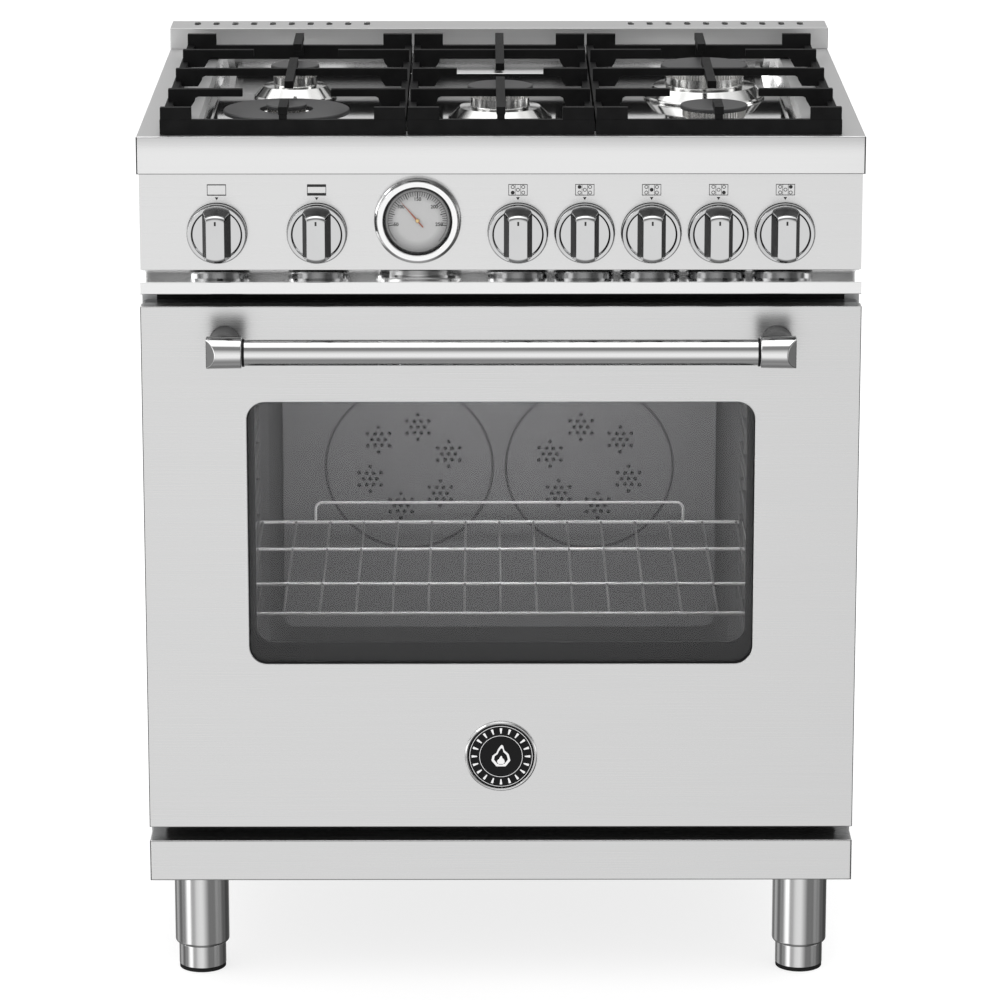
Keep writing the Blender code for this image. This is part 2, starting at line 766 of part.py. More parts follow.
def gas_manifold():
    """The supply pipe, its valves and stems, the burner tubes and the inlet through the back."""
    route = [
        (-0.320, PIPE_DEPTH, KNOB_HEIGHT),
        (PIPE_END_X - 0.012, PIPE_DEPTH, KNOB_HEIGHT),
        (PIPE_END_X, PIPE_DEPTH + 0.012, KNOB_HEIGHT),
        (PIPE_END_X, BODY_DEPTH - 0.003, KNOB_HEIGHT),
    ]
    pipe = add_part("gas_manifold", tube_mesh("gas_manifold", [route], PIPE_RADIUS), "galvanised")
    valves, stems = [], []
    for x in KNOBS.values():
        low = (x - 0.012, 0.058, KNOB_HEIGHT - 0.014)
        valves.append((low, (x + 0.012, PIPE_DEPTH, KNOB_HEIGHT + 0.014)))
        stems.append((x, STEM_MIDDLE, KNOB_HEIGHT))
    join(pipe, boxes_mesh("valves", valves))
    join(pipe, cylinders_mesh("stems", stems, STEM_RADIUS, STEM_LENGTH, TO_FRONT, 12))
    tubes = []
    for name, (x, depth, *_) in BURNERS.items():
        start = KNOBS[name]
        level = BURNER_BOTTOM - 0.020
        tubes.append(
            [
                (start, 0.070, KNOB_HEIGHT),
                (start, 0.070, level),
                (x, depth, level),
                (x, depth, BURNER_BOTTOM - GAP),
            ]
        )
    join(pipe, tube_mesh("burner_tubes", tubes, 0.0035))


# Oven


def oven_liner():
    skin = SHEET
    flange_x = SIDE_X - FLANGE_WIDTH - 0.0016
    low = (-flange_x, FRAME_FACE, KICK_TOP + 0.002)
    high = (flange_x, FRAME_FACE + skin, PANEL_BOTTOM - 0.0005)
    liner = add_part("oven_liner", box_mesh("oven_liner", low, high), "enamel")
    inside_low = (-CAVITY_X, FRAME_FACE - 0.02, CAVITY_BOTTOM)
    inside_high = (CAVITY_X, CAVITY_BACK, CAVITY_TOP)
    outside_low = (-CAVITY_X - skin, FRAME_FACE + skin / 2, CAVITY_BOTTOM - skin)
    outside_high = (CAVITY_X + skin, CAVITY_BACK + skin, CAVITY_TOP + skin)
    join(liner, box_mesh("cavity_outside", outside_low, outside_high, bevel=0.020, segments=3, along=2))
    cut(liner, box_mesh("cavity_inside", inside_low, inside_high, bevel=0.019, segments=3, along=2))
    shafts = [(side * FAN_X, CAVITY_BACK, FAN_HEIGHT) for side in (-1, 1)]
    cut(liner, cylinders_mesh("shaft_holes", shafts, 0.007, 0.02, TO_FRONT, 16))


def convection_cover():
    low = (-COVER_X, COVER_FACE, 0.262)
    high = (COVER_X, CAVITY_BACK - GAP, 0.700)
    cover = shell("convection_cover", low, high, (1, 1), "enamel", 0.0012, 0.006)
    holes = []
    for side in (-1, 1):
        for i in range(5):
            angle = math.radians(90 + 72 * i)
            x = side * FAN_X + 0.048 * math.cos(angle)
            holes.append((x, COVER_FACE, FAN_HEIGHT + 0.048 * math.sin(angle)))
    cut(cover, cylinders_mesh("air_holes", holes, 0.015, 0.01, TO_FRONT, 8))


def fans():
    blades = 12
    hub, tip = 0.022, 0.062
    outline = []
    for i in range(blades):
        for radius, shift in ((hub, -0.20), (tip, -0.10), (tip, 0.14), (hub, 0.10)):
            angle = 2 * math.pi * (i + shift) / blades
            outline.append((radius * math.cos(angle), radius * math.sin(angle)))
    for name, side in (("left", -1), ("right", 1)):
        origin = place(side * FAN_X, 0.513, FAN_HEIGHT)
        mesh = outline_mesh("fan_" + name, [outline], 0.014)
        fan = add_part("fan_" + name, mesh, "galvanised", origin, TO_FRONT)
        join(fan, cylinders_mesh("shaft", [(side * FAN_X, 0.535, FAN_HEIGHT)], 0.004, 0.040, TO_FRONT, 12))


def rack_guides():
    """Ladders on the side walls: a back strip with pairs of rails, cut open between its posts."""
    start, end = 0.095, 0.470
    inner, strip, outer = 0.2755, 0.2835, 0.2865
    rail_low = RACK_HEIGHT - GAP - WIRE
    levels = [rail_low + GUIDE_PITCH * (i - GUIDE_LEVELS_BELOW) for i in range(GUIDE_LEVELS)]
    bottom, top = levels[0] - 0.020, levels[-1] + 0.040
    for name, side in (("left", -1), ("right", 1)):
        outline = [(side * outer, bottom), (side * strip, bottom)]
        for level in levels:
            for low in (level, level + 0.0158):
                outline += [(side * strip, low), (side * inner, low)]
                outline += [(side * inner, low + WIRE), (side * strip, low + WIRE)]
        outline += [(side * strip, top), (side * outer, top)]
        mesh = upright(outline_mesh("rack_guide_" + name, [outline], end - start), (start + end) / 2)
        guide = add_part("rack_guide_" + name, mesh, "chrome")
        low_x, high_x = sorted((side * (strip - 0.0002), side * (outer + 0.01)))
        low, high = (low_x, start + WIRE, bottom + WIRE), (high_x, end - WIRE, top - WIRE)
        cut(guide, boxes_mesh("pane", [(low, high)]))


def oven_rack():
    """A flat grid of wires with a raised stop at the back."""
    half = 0.0015
    columns = [k * RACK_PITCH for k in range(-7, 8)]
    edges_x = [-RACK_X + WIRE / 2, *columns, RACK_X - WIRE / 2]
    front, back = RACK_LINES[0] - WIRE / 2, RACK_LINES[-1] + WIRE / 2
    outline = [(-RACK_X, front), (RACK_X, front), (RACK_X, back), (-RACK_X, back)]
    holes = []
    for a, b in zip(RACK_LINES, RACK_LINES[1:], strict=False):
        for left, right in zip(edges_x, edges_x[1:], strict=False):
            x0 = left + (WIRE / 2 if left == edges_x[0] else half)
            x1 = right - (WIRE / 2 if right == edges_x[-1] else half)
            y0, y1 = a + WIRE / 2, b - WIRE / 2
            holes.append([(x0, y0), (x0, y1), (x1, y1), (x1, y0)])
    mesh = outline_mesh("oven_rack", [outline, *holes], WIRE)
    middle = RACK_HEIGHT + WIRE / 2
    rack = add_part("oven_rack", mesh, "chrome", place(0, 0, middle))
    rise, width = 0.0247, 0.215
    level = RACK_HEIGHT + 0.001
    stop = [
        (-width, level),
        (-width, level + rise),
        (width, level + rise),
        (width, level),
        (width - WIRE, level),
        (width - WIRE, level + rise - WIRE),
        (-width + WIRE, level + rise - WIRE),
        (-width + WIRE, level),
    ]
    join(rack, upright(outline_mesh("rack_stop", [stop], 0.0032), RACK_LINES[-1]))


def oven_burners():
    routes = {"bake_burner": (0.205, 0.10, 0.45), "broil_burner": (0.698, 0.12, 0.44)}
    for name, (z, front, back) in routes.items():
        route = [(-0.12, back, z), (-0.12, front + 0.03, z), (-0.09, front, z)]
        route += [(0.09, front, z), (0.12, front + 0.03, z), (0.12, back, z)]
        add_part(name, tube_mesh(name, [route], 0.008), "galvanised")


# Door. It turns about the hinge line near its bottom edge, where its nodes have their origin.


def hinge_line():
    return place(0, HINGE_DEPTH, HINGE_HEIGHT)


def hinge_notches(front, back):
    """Slots in the door's bottom corner for the hinge arms, from closed to fully open."""
    half = 0.005
    low, high = DOOR_BOTTOM - 0.01, HINGE_HEIGHT + 0.006
    return [((s * HINGE_X - half, front, low), (s * HINGE_X + half, back, high)) for s in (-1, 1)]


def door_panels():
    origin = hinge_line()
    low, high = (-DOOR_X, 0, DOOR_BOTTOM), (DOOR_X, 0.020, DOOR_TOP)
    panel = shell("door_panel", low, high, (1, 1), "brushed_steel", 0.0015, 0.002, origin)
    window = window_cutter("window", WINDOW_X, WINDOW_BOTTOM, WINDOW_TOP, WINDOW_RADIUS, -0.01, 0.03)
    cut(panel, window)
    cut(panel, boxes_mesh("notches", hinge_notches(0.006, 0.03)))
    low, high = (-DOOR_X + 0.001, 0.0205, DOOR_BOTTOM + 0.001), (DOOR_X - 0.001, DOOR_DEPTH, DOOR_TOP - 0.001)
    liner = shell("door_liner", low, high, (1, -1), "enamel", 0.0012, 0.003, origin)
    inner = window_cutter("inner_window", WINDOW_X - 0.006, WINDOW_BOTTOM + 0.012, WINDOW_TOP, 0.018, 0.03, 0.06)
    cut(liner, inner)
    cut(liner, boxes_mesh("notches", hinge_notches(0.01, 0.06)))


def door_glasses():
    origin = hinge_line()
    panes = {"door_glass": (0.278, 0.010, 0.0018, 0.0058), "door_inner_glass": (0.272, 0.008, 0.0385, 0.0425)}
    for name, (half, lap, front, back) in panes.items():
        low = (-half, front, WINDOW_BOTTOM - lap)
        mesh = box_mesh(name, low, (half, back, WINDOW_TOP + lap), origin, 0.012, 3, 1)
        add_part(name, mesh, "glass", origin)


def handle():
    origin = hinge_line()
    middle = (0, HANDLE_DEPTH, HANDLE_HEIGHT)
    bar = cylinders_mesh("handle_bar", [middle], HANDLE_RADIUS, 2 * (POST_INNER_X - GAP), ACROSS, 24)
    bar.transform(Matrix.Translation(-origin))
    add_part("handle_bar", bar, "brushed_steel", origin)
    for name, side in (("left", -1), ("right", 1)):
        centre_x = side * (POST_OUTER_X - POST_RADIUS)
        foot = (centre_x, (HANDLE_DEPTH - GAP) / 2, HANDLE_HEIGHT)
        mesh = cylinders_mesh("post", [foot], POST_RADIUS * 0.995, -HANDLE_DEPTH - GAP, TO_FRONT, 24)
        mesh.transform(Matrix.Translation(-origin))
        post = add_part("handle_post_" + name, mesh, "brushed_steel", origin)
        middle = (side * (POST_INNER_X + POST_OUTER_X) / 2, HANDLE_DEPTH, HANDLE_HEIGHT)
        join(post, cylinders_mesh("cap", [middle], POST_RADIUS, POST_OUTER_X - POST_INNER_X, ACROSS, 24))
        cut(post, mitre_mesh(side))


def mitre_mesh(side):
    """A block turned by 45 degrees that cuts the outer front corner off a handle post."""
    reach = 0.03
    away = Vector((side, -1, 0)).normalized()
    corner = place(side * POST_MITRE, HANDLE_DEPTH, HANDLE_HEIGHT)
    bm = bmesh.new()
    bmesh.ops.create_cube(bm, size=1)
    bmesh.ops.scale(bm, vec=(2 * reach, 2 * reach, 2 * reach), verts=bm.verts[:])
    bmesh.ops.rotate(bm, matrix=Matrix.Rotation(math.pi / 4, 3, "Z"), verts=bm.verts[:])
    bmesh.ops.translate(bm, vec=corner + away * reach, verts=bm.verts[:])
    return to_mesh(bm, "mitre")


def badge():
    ring = BADGE_RADIUS - 0.003
    profile = [
        (0, 0.0018),
        (ring, 0.0018),
        (ring + 0.0008, 0.0032),
        (BADGE_RADIUS - 0.001, 0.0030),
        (BADGE_RADIUS, 0.002),
        (BADGE_RADIUS, GAP),
        (0, GAP),
    ]
    turned("badge", profile, "chrome", place(0, 0, BADGE_HEIGHT), TO_FRONT, 36)


def hinge_arms():
    """Steel arms on the body's front frame that end in the pivots of the door."""
    half = 0.003
    for name, side in (("left", -1), ("right", 1)):
        x = side * HINGE_X
        low = (x - half, HINGE_DEPTH, HINGE_HEIGHT - 0.0035)
        high = (x + half, FRAME_FACE - GAP, HINGE_HEIGHT + 0.0035)
        arm = add_part("hinge_arm_" + name, box_mesh("hinge_arm_" + name, low, high), "galvanised")
        pivot = [(x, HINGE_DEPTH, HINGE_HEIGHT)]
        join(arm, cylinders_mesh("pivot", pivot, 0.0042, 0.007, ACROSS, 16))


def main():
    for obj in list(bpy.data.objects):
        bpy.data.objects.remove(obj, do_unlink=True)
    make_collection("gas_range")
    make_collection("cutters").hide_render = True
    side_panels()
    back_panel()
    base_frame()
    kick_panel()
    legs()
    cooktop()
    vent_trim()
    burners()
    grates()
    control_panel()
    front_ledge()
    knobs()
    gauge()
    gas_manifold()
    oven_liner()
    convection_cover()
    fans()
    rack_guides()
    oven_rack()
    oven_burners()
    door_panels()
    door_glasses()
    handle()
    badge()
    hinge_arms()


main()
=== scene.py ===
"""Looks of a freestanding gas range: steel body, cast iron grates, chrome knobs and a windowed door.

X runs to the right as seen from the front, Y to the back and Z up, all in metres. Each piece is built in
mesh code where its CAD node stands, and rides on that node's body.
"""

import json
import math

import bmesh
import bpy
from mathutils import Matrix, Vector

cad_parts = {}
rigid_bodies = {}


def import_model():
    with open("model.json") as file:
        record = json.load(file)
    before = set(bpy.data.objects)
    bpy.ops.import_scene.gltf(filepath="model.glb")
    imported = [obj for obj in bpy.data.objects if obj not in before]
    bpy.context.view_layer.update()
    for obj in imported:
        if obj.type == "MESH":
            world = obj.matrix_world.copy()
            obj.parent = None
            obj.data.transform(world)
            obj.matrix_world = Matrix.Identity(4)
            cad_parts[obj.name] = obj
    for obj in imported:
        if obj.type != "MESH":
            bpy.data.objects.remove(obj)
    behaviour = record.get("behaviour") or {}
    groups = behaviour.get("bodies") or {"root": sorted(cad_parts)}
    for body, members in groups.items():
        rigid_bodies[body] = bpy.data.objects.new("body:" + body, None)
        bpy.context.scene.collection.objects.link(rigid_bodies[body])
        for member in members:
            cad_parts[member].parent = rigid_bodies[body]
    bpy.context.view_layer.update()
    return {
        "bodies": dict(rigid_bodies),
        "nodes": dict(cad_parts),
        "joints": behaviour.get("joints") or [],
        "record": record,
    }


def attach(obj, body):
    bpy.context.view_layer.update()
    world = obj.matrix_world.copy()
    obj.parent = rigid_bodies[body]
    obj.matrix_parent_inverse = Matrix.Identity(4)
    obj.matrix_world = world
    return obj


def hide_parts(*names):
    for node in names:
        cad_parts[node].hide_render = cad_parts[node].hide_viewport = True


# View
CAMERA_PLACE = (-0.019, -5.2836, 1.812)
CAMERA_TARGET = (0.0, 0.0, 0.4695)
LENS = 175.5
SENSOR = 36.0

# Brightness of the room in reflections: by angle up from the front, over the top and to the back,
# and by how far the direction points to the right.
ROOM_BY_HEIGHT = (
    (-180, 0.7), (-150, 0.28), (-124, 0.14), (-103, 0.2), (-83, 0.36), (-60, 0.28), (-45, 0.45),
    (-35, 0.75), (-24, 1.1), (-6, 1.15), (10, 0.95), (25, 0.55), (34, 0.28), (54, 0.28), (66, 1.9),
    (106, 2.0), (117, 0.62), (128, 0.42), (138, 0.24), (146, 0.15), (158, 0.15), (168, 0.7), (180, 0.7),
)
ROOM_BY_SIDE = (
    (-1.0, 1.6), (-0.93, 1.0), (-0.86, 2.2), (-0.76, 2.2), (-0.64, 0.55), (-0.5, 0.55), (-0.32, 0.9),
    (-0.1, 1.0), (0.06, 1.0), (0.16, 0.84), (0.36, 0.5), (0.5, 0.22), (0.8, 0.28), (0.92, 1.0), (1.0, 1.0),
)
ROOM_BRIGHTNESS = 1.15

# Directions and small sizes
SIDES = {"left": -1, "right": 1}
TO_FRONT = Matrix.Rotation(math.pi / 2, 4, "X")
TO_BACK = Matrix.Rotation(-math.pi / 2, 4, "X")
ACROSS = Matrix.Rotation(math.pi / 2, 4, "Y")
# Stands an outline of (depth, height) upright, with its thickness to the right.
UPRIGHT = Matrix(((0, 0, 1, 0), (1, 0, 0, 0), (0, 1, 0, 0), (0, 0, 0, 1)))
EVEN = (1, 1, 1)
# Edges that bend by more than these are drawn sharp, or rounded.
SHARP_ANGLE = math.radians(32)
BEVEL_ANGLE = math.radians(25)
# The thickness of a print and the clearance between parts
HAIR = 0.0002
GAP = 0.0003

# Body
FRONT = -0.2836
TOP = 0.931
WIDTH = 0.759
FASCIA_BOTTOM = 0.8914
# Black strips of painted shade in the gaps above and below the door: their heights, and half their width.
GAP_TRIMS = {"upper": (0.744, 0.7636), "lower": (0.166, 0.183)}
GAP_TRIM_X = 0.3635

# Cooktop
BASIN_FLOOR = 0.907
# name: x, depth, cap radius, shoulder radius, foot radius, height of the cap's top
BURNERS = {
    "front_left": (-0.2275, 0.127, 0.0672, 0.056, 0.06, 0.939),
    "rear_left": (-0.228, 0.39, 0.027, 0.035, 0.0463, 0.944),
    "centre": (0.0, 0.25, 0.0355, 0.044, 0.0565, 0.944),
    "front_right": (0.227, 0.127, 0.036, 0.0345, 0.038, 0.9436),
    "rear_right": (0.228, 0.39, 0.0485, 0.0568, 0.0675, 0.9442),
}
WOK = "front_left"
SHOULDER = TOP - 0.01
NECK_RADIUS = 0.021
BURNER_BOTTOM = 0.876
CAP_THICKNESS = 0.0045
PORT_HEIGHT = 0.0075
WOK_HOLE = 0.028
WOK_CAP_RADIUS = 0.0215
WOK_CAP_RISE = 0.0053

# Controls
PANEL_FACE = 0.014
PANEL_BOTTOM = 0.7872
KNOB_HEIGHT = 0.8268
KNOBS = {
    "oven_mode": -0.297, "oven_temperature": -0.1925, "front_left": 0.0178, "rear_left": 0.0876,
    "centre": 0.1574, "front_right": 0.2274, "rear_right": 0.2972,
}
KNOB_RADIUS = 0.0315
KNOB_LENGTH = 0.041
# A black ring of painted shade round each knob on the panel: inner and outer radius.
BEZEL_INNER = 0.0309
BEZEL_OUTER = 0.0318
GRIP_FOOT = 0.008
GRIP_HALF_WIDTH = 0.0096
GRIP_TAPER = 0.17
GRIP_ROOT_RADIUS = 0.0285
GRIP_FACE_RADIUS = 0.025
GRIP_ROUNDING = 0.0052
ICON_HEIGHT = 0.8722
ICON_HALF = (0.01, 0.006)
# Where each burner stands in a pictogram, sideways and up.
ICON_LAYOUT = {
    "front_left": (-0.0055, -0.003), "rear_left": (-0.0055, 0.003), "centre": (0.0, 0.0),
    "front_right": (0.0055, -0.003), "rear_right": (0.0055, 0.003),
}
ICON_LINE = 0.0006
ICON_BARS = {"oven_mode": 0.0011, "oven_temperature": 0.0028}
ICON_RING = (0.002, 0.00135)
ICON_DIVIDER_X = 0.0029
ARROW_HEIGHT = 0.8631
GAUGE = (-0.0871, 0.8408)
GAUGE_RADIUS = 0.04575
DIAL_RADIUS = 0.0342
DIAL_FACE = 0.007
DIAL_START = math.radians(190)
DIAL_NUMBERS = 5
NUMBER_STEP = math.radians(50)
NUMBER_RING = 0.0228
TICKS = 41
TICK_STEP = math.radians(5)
TICK_RING = 0.0306
TICK_LONG = (0.006, 0.00046)
TICK_SHORT = (0.0046, 0.0003)
ARC_SWEEP = math.radians(270)
ARC_RADII = (0.0312, 0.0307)
NUMBER_SIZE = 0.0052
NEEDLE_REST = math.radians(40.6)
NEEDLE_LENGTH = 0.026

LEDGE_TOP = 0.7765
LEDGE_LOW = 0.7637
SHEET = 0.0012

# Door
DOOR_X = 0.378
DOOR_LOW = 0.1784
DOOR_HIGH = 0.7509
DOOR_SHEET = 0.003
DOOR_WALL = 0.0015
DOOR_WALL_END = 0.02
WINDOW_X = 0.268
WINDOW_LOW = 0.3611
WINDOW_HIGH = 0.6477
WINDOW_RADIUS = 0.0195
HANDLE_DEPTH = -0.055
HANDLE_HEIGHT = 0.7135
HANDLE_RADIUS = 0.0137
POST_RADIUS = 0.0168
POST_INNER = 0.2695
POST_OUTER = 0.3065
POST_MITRE = 0.3135
SHIELD_REACH = math.radians(80)
COLLAR_RADIUS = 0.0147
COLLAR_WIDTH = 0.003
HINGE_X = 0.328
HINGE_SLOT = 0.005
SEAL_X = 0.3
SEAL_LOW = 0.223
SEAL_HIGH = 0.727
SEAL_DEPTH = 0.0471
SEAL_RADIUS = 0.0024
BADGE_HEIGHT = 0.2585
BADGE_RADIUS = 0.039
BADGE_RELIEF = 0.0017
BADGE_RINGS = (0.0338, 0.0232)
BADGE_DASHES = 20
BADGE_DASH_RING = 0.0285

# Oven
COVER_X = 0.251
COVER_FACE = 0.4975
COVER_LOW = 0.262
COVER_HIGH = 0.7
COVER_SHEET = 0.0012
CAVITY_BACK = 0.53
FAN_X = 0.1045
FAN_HEIGHT = 0.4553
# A ring of painted shade for the pressed groove round each fan: radius and width.
GROOVE_RADIUS = 0.0985
GROOVE_WIDTH = 0.0032
# Radius of the black disc of painted shade behind each fan's holes.
SHADE_RADIUS = 0.078
PETAL_RADIUS = 0.048
PETAL_START = math.radians(78)
PETAL_HOLE_RADIUS = 0.0025
# Rings of six holes in a cluster: radius and how far each is turned, in steps
PETAL_RINGS = ((0.0078, 0.0), (0.0148, 0.5))
RACK_HEIGHT = 0.3925
RACK_X = 0.2825
RACK_PITCH = 0.0392
RACK_LINES = (0.08, 0.202, 0.352, 0.475)
RACK_STOP_X = 0.213
RACK_STOP_RISE = 0.0235
RACK_WIRES = {"rim": 0.002, "span": 0.0019, "stop": 0.0016, "rod": 0.0014}
GUIDE_X = 0.2848
GUIDE_INNER = 0.2772
GUIDE_START = 0.097
GUIDE_END = 0.468
GUIDE_LEVELS = 8
GUIDE_PITCH = 0.043
GUIDE_LEVELS_BELOW = 2
GUIDE_WIRE = 0.0016
GUIDE_RAILS = (0.002, 0.0178)
GUIDE_BELOW = 0.018
GUIDE_ABOVE = 0.038

# Legs
LEG_X = 0.3265
LEG_DEPTHS = {"front": 0.06, "rear": 0.56}
LEG_RADIUS = 0.0295
LEG_WALL = 0.002
LEG_BOTTOM = 0.03
KICK_BOTTOM = 0.118
KICK_TOP = 0.1635
FOOT_RADIUS = 0.02565
FOOT_STEM_RADIUS = 0.016
FOOT_STEM_TOP = 0.09
PAD_TOP = 0.0052
THREAD_PITCH = 0.0025
THREAD_DEPTH = 0.0009

# Back and sides
BACK_FACE = 0.6181
SIDE_FACE = 0.37902
SCREW_RADIUS = 0.0046
BACK_SCREW_X = 0.352
BACK_SCREW_MIDDLE_X = 0.12
BACK_SCREW_HEIGHTS = (0.195, 0.42, 0.645, 0.868)
BACK_SCREW_RISE = 0.0013
SIDE_SCREW_DEPTHS = (0.085, 0.595)
SIDE_SCREW_HEIGHTS = (0.15, 0.5, 0.86)
SIDE_SCREW_RISE = 0.0004
LOUVRES = 8
LOUVRE_X = 0.16
LOUVRE_HALF = 0.055
LOUVRE_RISE = 0.0015
LOUVRE_HEIGHT = 0.007
# Height of the painted shade in the slot under each louvre.
LOUVRE_SLOT = 0.0026
LOUVRE_TOP = 0.7
LOUVRE_PITCH = 0.016
PLATE_X = 0.22
PLATE_HEIGHT = 0.33
PLATE_HALF = (0.045, 0.026)
PLATE_SHEET = 0.0005
RIVET_MARGIN = 0.005

# Materials by short name, filled by make_finishes
LOOKS = {}


# Building blocks


def spot(x, depth, z):
    """The point at this width, depth behind the front and height."""
    return Vector((x, FRONT + depth, z))


def at(x, depth, z, turn=None):
    """The matrix that turns a mesh and sets it down at a point."""
    return shift(*spot(x, depth, z)) @ (turn or Matrix.Identity(4))


def shift(x, y, z):
    return Matrix.Translation((x, y, z))


def lift(height):
    return shift(0, 0, height)


def spin(angle):
    return Matrix.Rotation(angle, 4, "Z")


def new_object(name, data):
    obj = bpy.data.objects.new(name, data)
    bpy.context.scene.collection.objects.link(obj)
    return obj


def aimed(name, data, place, target):
    """A camera or lamp at a place, facing a target."""
    obj = new_object(name, data)
    obj.location = place
    obj.rotation_euler = (Vector(target) - Vector(place)).to_track_quat("-Z", "Y").to_euler()
    return obj


def polar(radius, angle):
    return radius * math.cos(angle), radius * math.sin(angle)


def to_mesh(bm, matrix=None):
    """End a bmesh: outward normals, smooth faces and sharp edges where it bends."""
    bmesh.ops.recalc_face_normals(bm, faces=bm.faces[:])
    mesh = bpy.data.meshes.new("mesh")
    bm.to_mesh(mesh)
    bm.free()
    mesh.shade_smooth()
    mesh.set_sharp_from_angle(angle=SHARP_ANGLE)
    if matrix:
        mesh.transform(matrix)
    return mesh


def opened(*meshes):
    """One bmesh from meshes, which are then dropped."""
    bm = bmesh.new()
    for mesh in meshes:
        bm.from_mesh(mesh)
        bpy.data.meshes.remove(mesh)
    return bm


def merged(meshes):
    bm = opened(*meshes)
    joined = bpy.data.meshes.new("mesh")
    bm.to_mesh(joined)
    bm.free()
    return joined


def fillet(corners, steps=4):
    """The loop of corner points (x, y, radius) with each corner rounded to its radius."""
    loop = []
    for i, (x, y, radius) in enumerate(corners):
        here = Vector((x, y))
        if not radius:
            loop.append((x, y))
            continue
        before = (Vector(corners[i - 1][:2]) - here).normalized()
        after = (Vector(corners[(i + 1) % len(corners)][:2]) - here).normalized()
        half = before.angle(after) / 2
        centre = here + (before + after).normalized() * (radius / math.sin(half))
        start = here + before * (radius / math.tan(half)) - centre
        end = here + after * (radius / math.tan(half)) - centre
        sweep = start.angle_signed(end)
        for k in range(steps + 1):
            arm = start.copy()
            arm.rotate(Matrix.Rotation(-sweep * k / steps, 2))
            loop.append(tuple(centre + arm))
    return loop


def round_rectangle(half_x, low, high, radius, steps=12):
    corners = [(-half_x, low), (half_x, low), (half_x, high), (-half_x, high)]
    return fillet([(x, y, radius) for x, y in corners], steps)


def circle(radius, steps=48, x=0.0, y=0.0):
    angles = [2 * math.pi * i / steps for i in range(steps)]
    return [(x + radius * math.cos(a), y + radius * math.sin(a)) for a in angles]


def lathe(profile, matrix=None, steps=72):
    """The solid swept by a half section of (radius, height) points, about Z."""
    bm = bmesh.new()
    rings = []
    for radius, height in profile:
        if radius < HAIR:
            rings.append([bm.verts.new((0, 0, height))] * steps)
            continue
        rings.append([bm.verts.new((x, y, height)) for x, y in circle(radius, steps)])
    for upper, lower in zip(rings, rings[1:], strict=False):
        for i in range(steps):
            j = (i + 1) % steps
            corners = dict.fromkeys((upper[i], upper[j], lower[j], lower[i]))
            if len(corners) > 2:
                bm.faces.new(list(corners))
    return to_mesh(bm, matrix)


def hoop(section, matrix=None, steps=96):
    """The ring swept by a closed section that stays clear of the axis."""
    return lathe([*section, section[0]], matrix, steps)


def from_curve(curve, matrix):
    """The mesh of a curve, whose data block is then dropped."""
    holder = new_object("holder", curve)
    bpy.context.view_layer.update()
    depsgraph = bpy.context.evaluated_depsgraph_get()
    bm = opened(bpy.data.meshes.new_from_object(holder.evaluated_get(depsgraph)))
    bpy.data.objects.remove(holder)
    bpy.data.curves.remove(curve)
    bmesh.ops.remove_doubles(bm, verts=bm.verts[:], dist=0.000005)
    return to_mesh(bm, matrix)


def add_lines(curve, loops, closed):
    """Straight splines through lists of points."""
    for loop in loops:
        spline = curve.splines.new("POLY")
        spline.points.add(len(loop) - 1)
        for point, place in zip(spline.points, loop, strict=True):
            point.co = (*place, *(0, 1)[len(place) - 2 :])
        spline.use_cyclic_u = closed


def plate(loops, thickness, matrix=None, bevel=0.0):
    """A plate that rises along Z from 0, with rounded edges; loops after the first are holes."""
    curve = bpy.data.curves.new("plate", "CURVE")
    curve.dimensions = "2D"
    curve.fill_mode = "BOTH"
    curve.extrude = thickness / 2 - bevel
    curve.bevel_depth = bevel
    curve.bevel_resolution = 2
    curve.offset = -bevel
    add_lines(curve, loops, True)
    return from_curve(curve, (matrix or Matrix.Identity(4)) @ lift(thickness / 2))


def wires(paths, radius, closed=False):
    """Round wires along lists of points."""
    curve = bpy.data.curves.new("wires", "CURVE")
    curve.dimensions = "3D"
    curve.bevel_depth = radius
    curve.bevel_resolution = 3
    curve.use_fill_caps = True
    add_lines(curve, paths, closed)
    return from_curve(curve, Matrix.Identity(4))


def slab(low, high, bevel=0.0, matrix=None):
    """A block between two corners with its edges rounded."""
    bm = bmesh.new()
    size = [b - a for a, b in zip(low, high, strict=True)]
    centre = [(a + b) / 2 for a, b in zip(low, high, strict=True)]
    bmesh.ops.create_cube(bm, size=1, matrix=shift(*centre) @ Matrix.Diagonal((*size, 1)))
    if bevel:
        bmesh.ops.bevel(bm, geom=bm.edges[:], offset=bevel, segments=2, affect="EDGES", profile=0.5)
    return to_mesh(bm, matrix)


def cut_away(bm, point, normal):
    """Cut off what lies beyond a plane and close the cut."""
    geometry = bm.verts[:] + bm.edges[:] + bm.faces[:]
    bmesh.ops.bisect_plane(bm, geom=geometry, plane_co=point, plane_no=normal, clear_outer=True)
    close_holes(bm)


def close_holes(bm):
    bmesh.ops.holes_fill(bm, edges=[e for e in bm.edges if e.is_boundary])


def round_sharp(bm, width, segments, above=-1.0):
    """Round the sharp edges that reach above a height."""
    bmesh.ops.dissolve_degenerate(bm, dist=0.00002, edges=bm.edges[:])
    sharp = [e for e in bm.edges if len(e.link_faces) == 2 and e.calc_face_angle() > BEVEL_ANGLE]
    sharp = [e for e in sharp if max(v.co.z for v in e.verts) > above]
    bmesh.ops.bevel(bm, geom=sharp, offset=width, segments=segments, affect="EDGES", profile=0.5)


def wear(mesh, finish):
    mesh.materials.clear()
    mesh.materials.append(LOOKS[finish])


def add_piece(name, mesh, finish, body="root", node=None):
    """Put a mesh in world space on a body as a visible piece, in place of a CAD node if one is named."""
    mesh.name = name
    wear(mesh, finish)
    obj = new_object(name, mesh)
    weighted = obj.modifiers.new("even_shading", "WEIGHTED_NORMAL")
    weighted.keep_sharp = True
    weighted.weight = 100
    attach(obj, body)
    if node:
        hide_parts(node)
    return obj


# Materials


